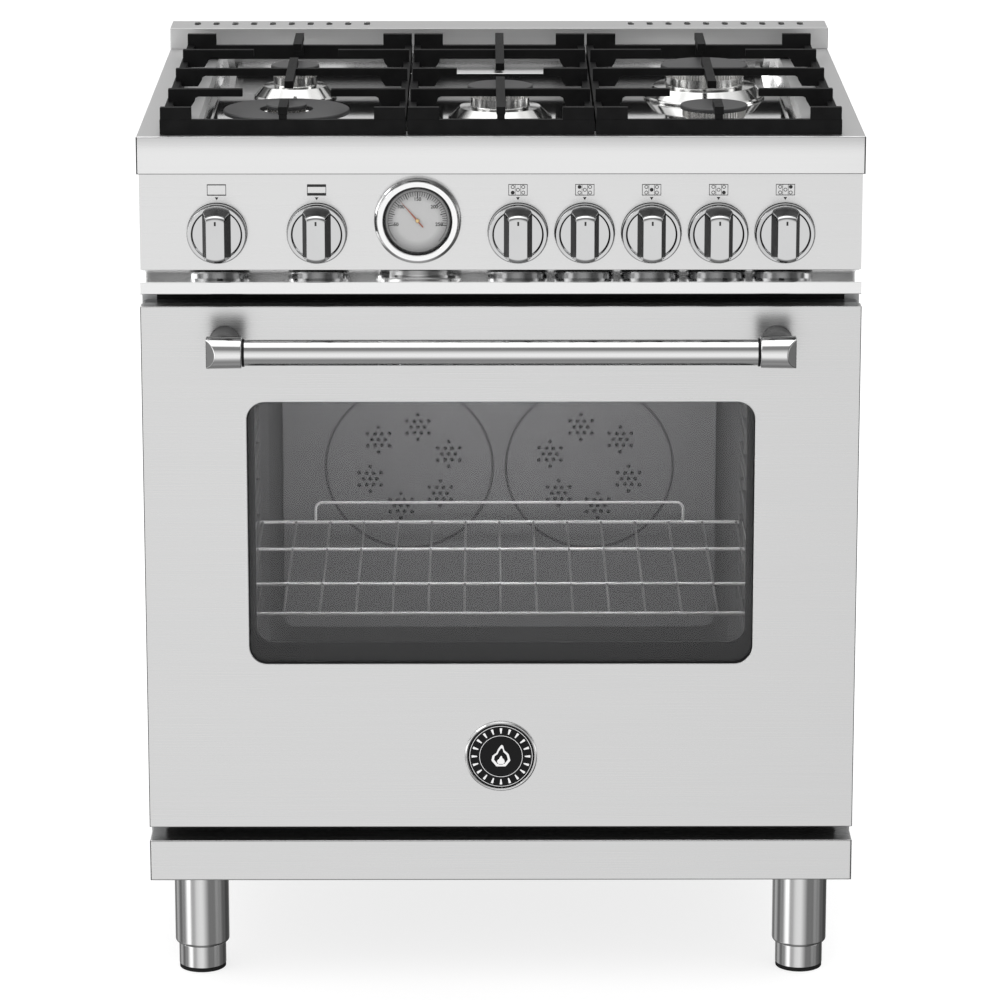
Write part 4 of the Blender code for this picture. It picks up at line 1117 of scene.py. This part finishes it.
def make_gauge():
    """The thermometer: a stepped case, its printed dial under glass and the needle."""
    set_down = at(GAUGE[0], PANEL_FACE, GAUGE[1], TO_FRONT)
    case = fillet([
        (0, DIAL_FACE - HAIR, 0), (DIAL_RADIUS, DIAL_FACE - HAIR, 0),
        (DIAL_RADIUS + 0.0016, 0.0112, 0.0005), (DIAL_RADIUS + 0.0024, 0.0128, 0.0006),
        (GAUGE_RADIUS - 0.0036, 0.0128, 0.001), (GAUGE_RADIUS - 0.0024, 0.0096, 0.0006),
        (GAUGE_RADIUS - 0.0006, 0.0086, 0.001), (GAUGE_RADIUS, 0.0054, 0.0008), (GAUGE_RADIUS, 0.0004, 0),
        (0.034, 0.0003, 0), (0.034, -0.012, 0), (0, -0.012, 0),
    ])
    body = lathe(case, set_down, 120)
    # The case's chrome is brightened to paint its light.
    add_piece("thermometer_case", body, "bezel_chrome", "root", "gauge_case")
    # A dark ring of painted shade on the inner slope of the case.
    throat = [(DIAL_RADIUS - 0.0004, DIAL_FACE + HAIR), (DIAL_RADIUS + 0.0013, 0.0112)]
    throat += [(DIAL_RADIUS + 0.0009, 0.0113), (DIAL_RADIUS - 0.0009, DIAL_FACE + HAIR)]
    add_piece("thermometer_throat", hoop(throat, set_down, 120), "dark_chrome")
    under = set_down @ lift(DIAL_FACE - HAIR)
    add_piece("thermometer_dial", plate([circle(DIAL_RADIUS - HAIR, 96)], HAIR, under), "dial")
    marks = dial_marks()
    marks.transform(set_down @ lift(DIAL_FACE))
    add_piece("thermometer_marks", marks, "ink")
    outline = [(-0.0007, -0.009), (0.0007, -0.009), (0.0009, 0.004)]
    outline += [(0.00015, NEEDLE_LENGTH), (-0.00015, NEEDLE_LENGTH), (-0.0009, 0.004)]
    above = set_down @ spin(NEEDLE_REST) @ lift(DIAL_FACE + 0.0012)
    pointer = plate([outline], 0.0005, above, 0.0001)
    add_piece("pointer", pointer, "needle", "gauge_needle", "gauge_needle")
    hub = fillet([(0, 0.0022, 0), (0.0021, 0.002, 0.0005), (0.0024, 0.0006, 0), (0, 0.0006, 0)])
    add_piece("pointer_hub", lathe(hub, under), "brass", "gauge_needle")
    pane = [(0, 0.0104), (DIAL_RADIUS, 0.01), (DIAL_RADIUS, 0.0096), (0, 0.0098)]
    add_piece("thermometer_glass", lathe(pane, set_down), "clear")


# Door


def notched_sill():
    """The skin's bottom wall, with slots that leave room for the hinge arms as the door opens."""
    start, slot_start, end = 0.0015, 0.006, DOOR_WALL_END
    half = DOOR_X - DOOR_WALL
    outline = [(-half, start), (half, start), (half, end)]
    for middle in (HINGE_X, -HINGE_X):
        right, left = middle + HINGE_SLOT, middle - HINGE_SLOT
        outline += [(right, end), (right, slot_start), (left, slot_start), (left, end)]
    outline.append((-half, end))
    return plate([outline], DOOR_WALL, at(0, 0, DOOR_LOW))


def make_door():
    """The brushed skin with its folded walls, and the black border seen round the window."""
    window = round_rectangle(WINDOW_X, WINDOW_LOW, WINDOW_HIGH, WINDOW_RADIUS)
    loops = [round_rectangle(DOOR_X, DOOR_LOW, DOOR_HIGH, 0.0012, 3), window]
    inner = DOOR_X - DOOR_WALL
    walls = []
    for left, right, low, high in (
        (-DOOR_X, -inner, DOOR_LOW + 0.001, DOOR_HIGH - 0.001),
        (inner, DOOR_X, DOOR_LOW + 0.001, DOOR_HIGH - 0.001),
        (-inner, inner, DOOR_HIGH - DOOR_WALL, DOOR_HIGH),
    ):
        walls.append(slab((left, FRONT + 0.0015, low), (right, FRONT + DOOR_WALL_END, high)))
    skin = [plate(loops, DOOR_SHEET, at(0, DOOR_SHEET, 0, TO_FRONT), 0.0009), *walls, notched_sill()]
    add_piece("door_skin", merged(skin), "steel", "door", "door_panel")
    lap, inner_radius = 0.0004, WINDOW_RADIUS - 0.001
    band = [
        round_rectangle(WINDOW_X + lap, WINDOW_LOW - lap, WINDOW_HIGH + lap, WINDOW_RADIUS),
        round_rectangle(WINDOW_X - 0.001, WINDOW_LOW + 0.0022, WINDOW_HIGH - HAIR, inner_radius),
    ]
    add_piece("window_border", plate(band, 0.0008, at(0, 0.0022, 0, TO_FRONT)), "black", "door")


def make_door_seal():
    """The heat-proof bead round the back of the door that meets the front of the oven."""
    loop = round_rectangle(SEAL_X, SEAL_LOW, SEAL_HIGH, 0.02, 8)
    bead = wires([[spot(x, SEAL_DEPTH, z) for x, z in loop]], SEAL_RADIUS, closed=True)
    add_piece("door_seal", bead, "rubber", "door")


def post_cap(side):
    """The end piece of the handle along X: a short thick tube whose outer front corner is cut off."""
    bm = bmesh.new()
    turn = shift((POST_INNER + POST_OUTER) / 2, 0, 0) @ ACROSS
    sizes = {"radius1": POST_RADIUS - 0.0005, "radius2": POST_RADIUS, "depth": POST_OUTER - POST_INNER}
    bmesh.ops.create_cone(bm, cap_ends=True, segments=96, matrix=turn, **sizes)
    cut_away(bm, (POST_MITRE, 0, 0), (1, -1, 0))
    round_sharp(bm, 0.0009, 3)
    if side < 0:
        bmesh.ops.scale(bm, vec=(-1, 1, 1), verts=bm.verts[:])
    return to_mesh(bm, at(0, HANDLE_DEPTH, HANDLE_HEIGHT))


def post_back(side):
    """A dark sheet on the back of a handle post, which the door mirrors as a painted dark reflection."""
    steps = 24
    outline = []
    for radius, way in ((POST_RADIUS + 0.0002, 1), (POST_RADIUS - 0.0008, -1)):
        outline += [polar(radius, way * SHIELD_REACH * (2 * i / steps - 1)) for i in range(steps + 1)]
    start = min(side * (POST_INNER + 0.0005), side * (POST_OUTER - 0.0005))
    place = at(start, HANDLE_DEPTH, HANDLE_HEIGHT, UPRIGHT)
    return plate([outline], POST_OUTER - POST_INNER - 0.001, place)


def make_handle():
    """The bar between two posts. Its bright pieces are hidden from gloss, so that the door stays even."""
    half = POST_INNER - GAP
    ends = [(HANDLE_RADIUS, half, 0.0004), (HANDLE_RADIUS, -half, 0.0004)]
    tube = fillet([(0, half, 0), *ends, (0, -half, 0)])
    bar = lathe(tube, at(0, HANDLE_DEPTH, HANDLE_HEIGHT, ACROSS), 96)
    hidden = [add_piece("grab_bar", bar, "steel_round", "door", "handle_bar")]
    wide, narrow = POST_RADIUS - HAIR, POST_RADIUS - 0.001
    stem = fillet([
        (0, -HANDLE_DEPTH, 0), (wide, -HANDLE_DEPTH, 0), (wide, 0.0022, 0),
        (narrow, 0.0016, 0.0002), (narrow, 0.0002, 0), (0, 0.0002, 0),
    ])
    width, radius = COLLAR_WIDTH, COLLAR_RADIUS
    ring = fillet([(0, width, 0), (radius, width, 0.0008), (radius, 0, 0.0008), (0, 0, 0)])
    for name, side in SIDES.items():
        # The stems' dark chrome paints the dark reflections that the door shows above the posts.
        stem_mesh = lathe(stem, at(side * (POST_OUTER - POST_RADIUS), 0, HANDLE_HEIGHT, TO_FRONT), 96)
        add_piece("stem_" + name, stem_mesh, "stem", "door", None)
        cap, node = post_cap(side), "handle_post_" + name
        hidden.append(add_piece("post_" + name, cap, "steel_round", "door", node))
        add_piece("post_back_" + name, post_back(side), "stem", "door", None)
        collar_x = side * (POST_INNER - width / 2) - width / 2
        collar = lathe(ring, at(collar_x, HANDLE_DEPTH, HANDLE_HEIGHT, ACROSS))
        hidden.append(add_piece("collar_" + name, collar, "black", "door"))
    for piece in hidden:
        piece.visible_glossy = False


def flame_outline(scale):
    """A plain flame, from its left foot round by the tip."""
    points = ((-0.3, -0.62), (0.3, -0.62), (0.62, -0.22), (0.5, 0.22), (0.22, 0.48), (0.1, 0.98))
    points += ((-0.16, 0.6), (-0.3, 0.3), (-0.56, 0.1), (-0.62, -0.22))
    return fillet([(x * scale, y * scale, 0.1 * scale) for x, y in points], 3)


def make_badge():
    """A round badge with a generic motif: rings, dashes and a flame."""
    set_down = at(0, 0, BADGE_HEIGHT, TO_FRONT)
    relief = set_down @ lift(BADGE_RELIEF)
    inner, outer = BADGE_RADIUS - 0.0034, BADGE_RADIUS - 0.0002
    ring = fillet([
        (inner, 0.0006, 0), (BADGE_RADIUS - 0.003, 0.0026, 0.0004),
        (BADGE_RADIUS - 0.0016, 0.0031, 0.0006), (outer, 0.002, 0.0006),
        (outer, 0.0003, 0), (inner, 0.0003, 0),
    ])
    meshes = [hoop(ring, set_down)]
    for radius in BADGE_RINGS:
        meshes.append(plate([circle(radius, 96), circle(radius - 0.0005, 96)], 0.0004, relief))
    tapered = ((-0.003, -0.0006), (0.003, -0.0014), (0.003, 0.0014), (-0.003, 0.0006))
    dash = fillet([(x, y, 0.0005) for x, y in tapered])
    for i in range(BADGE_DASHES):
        out = spin(2 * math.pi * i / BADGE_DASHES) @ shift(BADGE_DASH_RING, 0, BADGE_RELIEF)
        meshes.append(plate([dash], 0.0005, set_down @ out))
    for drop, scales in ((0.001, (0.0165, 0.012)), (0.005, (0.0068,))):
        flame = [flame_outline(scale) for scale in scales]
        meshes.append(plate(flame, 0.0006, relief @ shift(0, -drop, 0), 0.0001))
    # The rim's chrome is brightened to paint its light.
    add_piece("emblem_rim", merged(meshes), "bezel_chrome", "door", "badge")
    edge = BADGE_RADIUS - 0.003
    face = lathe([(0, 0.0018), (edge, 0.0018), (edge, 0.0004), (0, 0.0004)], set_down)
    add_piece("emblem_face", face, "black", "door")


# Oven


def make_rack():
    """The wire shelf: a rim, cross spans and a raised stop at the back, over thin rods. The rim, spans and
    stop are painted bright and the rods dark, as lit and shaded copies of one wire.
    """
    half = RACK_X - 0.002
    front, back = RACK_LINES[0], RACK_LINES[-1]
    z = RACK_HEIGHT + 0.002
    corners = [(-half, front, 0.006), (half, front, 0.006), (half, back, 0.006), (-half, back, 0.006)]
    thick = [wires([[spot(x, y, z) for x, y in fillet(corners, 5)]], RACK_WIRES["rim"], True)]
    spans = [[spot(-half, depth, z), spot(half, depth, z)] for depth in RACK_LINES[1:-1]]
    thick.append(wires(spans, RACK_WIRES["span"]))
    lines = [k * RACK_PITCH for k in range(-7, 8)]
    rods = [[spot(x, depth, z + HAIR) for depth in (front, back)] for x in lines]
    add_piece("rack_rods", wires(rods, RACK_WIRES["rod"]), "rod", "oven_rack", None)
    end, rise = RACK_STOP_X, RACK_STOP_RISE
    arch = fillet([(-end, 0, 0), (-end, rise, 0.008), (end, rise, 0.008), (end, 0, 0)], 6)
    thick.append(wires([[spot(x, back, z + up) for x, up in arch]], RACK_WIRES["stop"]))
    add_piece("rack_wires", merged(thick), "wire", "oven_rack", "oven_rack")


def make_rack_guides():
    """Wire ladders on the oven's sides, with a pair of rails for each level, in a copy of the rack's wire
    painted dark as shade.
    """
    start, end = GUIDE_START, GUIDE_END
    first = RACK_HEIGHT - GAP - 0.004 - GUIDE_PITCH * GUIDE_LEVELS_BELOW
    levels = [first + GUIDE_PITCH * i for i in range(GUIDE_LEVELS)]
    low, high = levels[0] - GUIDE_BELOW, levels[-1] + GUIDE_ABOVE
    corners = [(start, low, 0.01), (end, low, 0.01), (end, high, 0.01), (start, high, 0.01)]
    for name, side in SIDES.items():
        x, inner = side * GUIDE_X, side * GUIDE_INNER
        bends = ((x, start), (inner, start + 0.006), (inner, end - 0.006), (x, end))
        heights = [level + rise for level in levels for rise in GUIDE_RAILS]
        frame = wires([[spot(x, y, z) for y, z in fillet(corners, 5)]], GUIDE_WIRE, closed=True)
        rails = wires([[spot(*bend, height) for bend in bends] for height in heights], GUIDE_WIRE)
        node = "rack_guide_" + name
        add_piece("ladder_" + name, merged([frame, rails]), "guide", "root", node)


def petal_holes():
    """Clusters of round holes in front of the two fans, six to a fan."""
    cluster = [(0.0, 0.0)]
    for radius, offset in PETAL_RINGS:
        cluster += [polar(radius, 2 * math.pi * (k + offset) / 6) for k in range(6)]
    holes = []
    for side in (-1, 1):
        for i in range(6):
            out, up = polar(PETAL_RADIUS, PETAL_START + 2 * math.pi * i / 6)
            x, z = side * (FAN_X - out), FAN_HEIGHT + up
            holes += [circle(PETAL_HOLE_RADIUS, 12, x + dx, z + dz) for dx, dz in cluster]
    return holes


def make_convection_cover():
    """The perforated cover, with a ring of painted shade for the pressed groove round each fan and a black
    disc of painted shade behind its holes.
    """
    face = [round_rectangle(COVER_X, COVER_LOW, COVER_HIGH, 0.012, 6), *petal_holes()]
    front = plate(face, COVER_SHEET, at(0, COVER_FACE + COVER_SHEET, 0, TO_FRONT), 0.0003)
    inner = (COVER_X - COVER_SHEET, COVER_LOW + COVER_SHEET, COVER_HIGH - COVER_SHEET)
    rim = [face[0], round_rectangle(*inner, 0.0108, 6)]
    depth = CAVITY_BACK - COVER_FACE - 0.002
    wall = plate(rim, depth, at(0, COVER_FACE + 0.001 + depth, 0, TO_FRONT))
    add_piece("fan_cover", merged([front, wall]), "enamel", "root", "convection_cover")
    grooves, shades = [], []
    for x in (-FAN_X, FAN_X):
        loops = [circle(GROOVE_RADIUS, 96), circle(GROOVE_RADIUS - GROOVE_WIDTH, 96)]
        grooves.append(plate(loops, 0.0004, at(x, COVER_FACE, FAN_HEIGHT, TO_FRONT)))
        behind = at(x, COVER_FACE + 0.0022, FAN_HEIGHT, TO_FRONT)
        shades.append(plate([circle(SHADE_RADIUS)], 0.0004, behind))
    add_piece("fan_cover_grooves", merged(grooves), "groove")
    add_piece("fan_cover_shades", merged(shades), "black")


# Back and sides


def screw_heads(places, turn, height):
    """Low screw heads at points in world space, and a dark cross of painted shade for the recess of each.
    """
    rim = (SCREW_RADIUS, height, 0.6 * height)
    section = fillet([(0, height, 0), rim, (SCREW_RADIUS, 0, 0), (0, 0, 0)])
    heads, recesses = [], []
    for place in places:
        set_down = shift(*place) @ turn
        heads.append(lathe(section, set_down, 32))
        for x, y in ((0.0027, 0.0005), (0.0005, 0.0027)):
            recesses.append(slab((-x, -y, height * 0.7), (x, y, height + 0.00006), 0.0, set_down))
    return heads, recesses


def make_screws():
    """Raised screws on the back and flush ones on the sides."""
    rear = BACK_FACE + HAIR / 2
    ends = (BACK_SCREW_HEIGHTS[0], BACK_SCREW_HEIGHTS[-1])
    places = []
    for half, heights in ((BACK_SCREW_X, BACK_SCREW_HEIGHTS), (BACK_SCREW_MIDDLE_X, ends)):
        places += [spot(x, rear, z) for x in (-half, half) for z in heights]
    heads, recesses = screw_heads(places, TO_BACK, BACK_SCREW_RISE)
    for side in (-1, 1):
        to_side = Matrix.Rotation(side * math.pi / 2, 4, "Y")
        x = side * SIDE_FACE
        places = [spot(x, depth, z) for depth in SIDE_SCREW_DEPTHS for z in SIDE_SCREW_HEIGHTS]
        more_heads, more_recesses = screw_heads(places, to_side, SIDE_SCREW_RISE)
        heads += more_heads
        recesses += more_recesses
    add_piece("panel_screws", merged(heads), "alloy")
    add_piece("panel_screw_recesses", merged(recesses), "ink")


def make_back():
    """Vent louvres with painted shade in the slots under them, and a riveted blank plate on the back."""
    ribs, slots = [], []
    for x in (-LOUVRE_X, LOUVRE_X):
        for i in range(LOUVRES):
            z = LOUVRE_TOP - i * LOUVRE_PITCH
            low = spot(x - LOUVRE_HALF, BACK_FACE, z)
            high = spot(x + LOUVRE_HALF, BACK_FACE + LOUVRE_RISE, z + LOUVRE_HEIGHT)
            ribs.append(slab(low, high, 0.0006))
            half = LOUVRE_HALF - 0.002
            low, high = spot(x - half, BACK_FACE, z - LOUVRE_SLOT), spot(x + half, BACK_FACE + HAIR, z)
            slots.append(slab(low, high))
    add_piece("back_louvres", merged(ribs), "galvanised")
    add_piece("back_louvre_slots", merged(slots), "ink")
    half_x, half_z = PLATE_HALF
    sheet = [round_rectangle(half_x, -half_z, half_z, 0.003, 4)]
    blank = plate(sheet, PLATE_SHEET, at(PLATE_X, BACK_FACE, PLATE_HEIGHT, TO_BACK), 0.0001)
    add_piece("blank_plate", blank, "alloy")
    dome = [(0, 0.0007), (0.0012, 0.0005), (0.0018, 0), (0, 0)]
    studs = []
    for sx in (-1, 1):
        for sz in (-1, 1):
            x, z = PLATE_X + sx * (half_x - RIVET_MARGIN), PLATE_HEIGHT + sz * (half_z - RIVET_MARGIN)
            studs.append(lathe(dome, at(x, BACK_FACE + PLATE_SHEET, z, TO_BACK), 16))
    add_piece("blank_plate_rivets", merged(studs), "alloy")


# Legs


def foot_section():
    """Half section of a levelling foot: a threaded stem on a round block."""
    root = FOOT_STEM_RADIUS - THREAD_DEPTH
    section = [(0, FOOT_STEM_TOP), (FOOT_STEM_RADIUS - 0.001, FOOT_STEM_TOP)]
    for i in range(int((FOOT_STEM_TOP - LEG_BOTTOM - 0.002) / THREAD_PITCH)):
        height = FOOT_STEM_TOP - 0.001 - i * THREAD_PITCH
        section += [(FOOT_STEM_RADIUS, height), (root, height - THREAD_PITCH / 2)]
    block = [(root, LEG_BOTTOM - GAP, 0), (FOOT_RADIUS, LEG_BOTTOM - GAP, 0.0008)]
    return section + fillet([*block, (FOOT_RADIUS, PAD_TOP, 0.0004), (0, PAD_TOP, 0)])


def make_legs():
    """Hollow sleeves and the levelling feet, whose threaded stems reach up inside them."""
    bore, hollow = FOOT_STEM_RADIUS + 0.0005, LEG_RADIUS - LEG_WALL
    sleeve = [
        (0, KICK_BOTTOM - GAP, 0), (LEG_RADIUS, KICK_BOTTOM - GAP, 0), (LEG_RADIUS, LEG_BOTTOM, 0.0034),
        (bore, LEG_BOTTOM, 0), (bore, LEG_BOTTOM + 0.003, 0), (hollow, LEG_BOTTOM + 0.005, 0),
        (hollow, KICK_BOTTOM - 0.004, 0), (0, KICK_BOTTOM - 0.004, 0),
    ]
    edge = FOOT_RADIUS - 0.0004
    pad = fillet([(0, PAD_TOP, 0), (edge, 0.005, 0.0006), (edge, 0.0006, 0.0006), (0, 0, 0)])
    for row, depth in LEG_DEPTHS.items():
        for name, side in SIDES.items():
            where = f"{row}_{name}"
            foot = "foot_" + where
            set_down = at(side * LEG_X, depth, 0)
            tube, leveller, sole = (
                lathe(section, set_down, 96) for section in (fillet(sleeve, 6), foot_section(), pad)
            )
            add_piece("leg_" + where, tube, "steel_leg", "root", "leg_tube_" + where)
            add_piece("leveller_" + where, leveller, "steel_leg", foot, foot)
            add_piece("pad_" + where, sole, "rubber", foot)


def main():
    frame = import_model()
    bpy.context.scene.view_settings.view_transform = "Standard"
    make_finishes()
    make_camera()
    make_world()
    make_floor()
    make_lights()
    dress_frame(frame["nodes"])
    make_burners()
    make_igniters()
    make_knobs()
    make_ledge()
    make_folds()
    make_gap_trims()
    make_icons()
    make_gauge()
    make_door()
    make_door_seal()
    make_handle()
    make_badge()
    make_rack()
    make_rack_guides()
    make_convection_cover()
    make_screws()
    make_back()
    make_legs()


main()
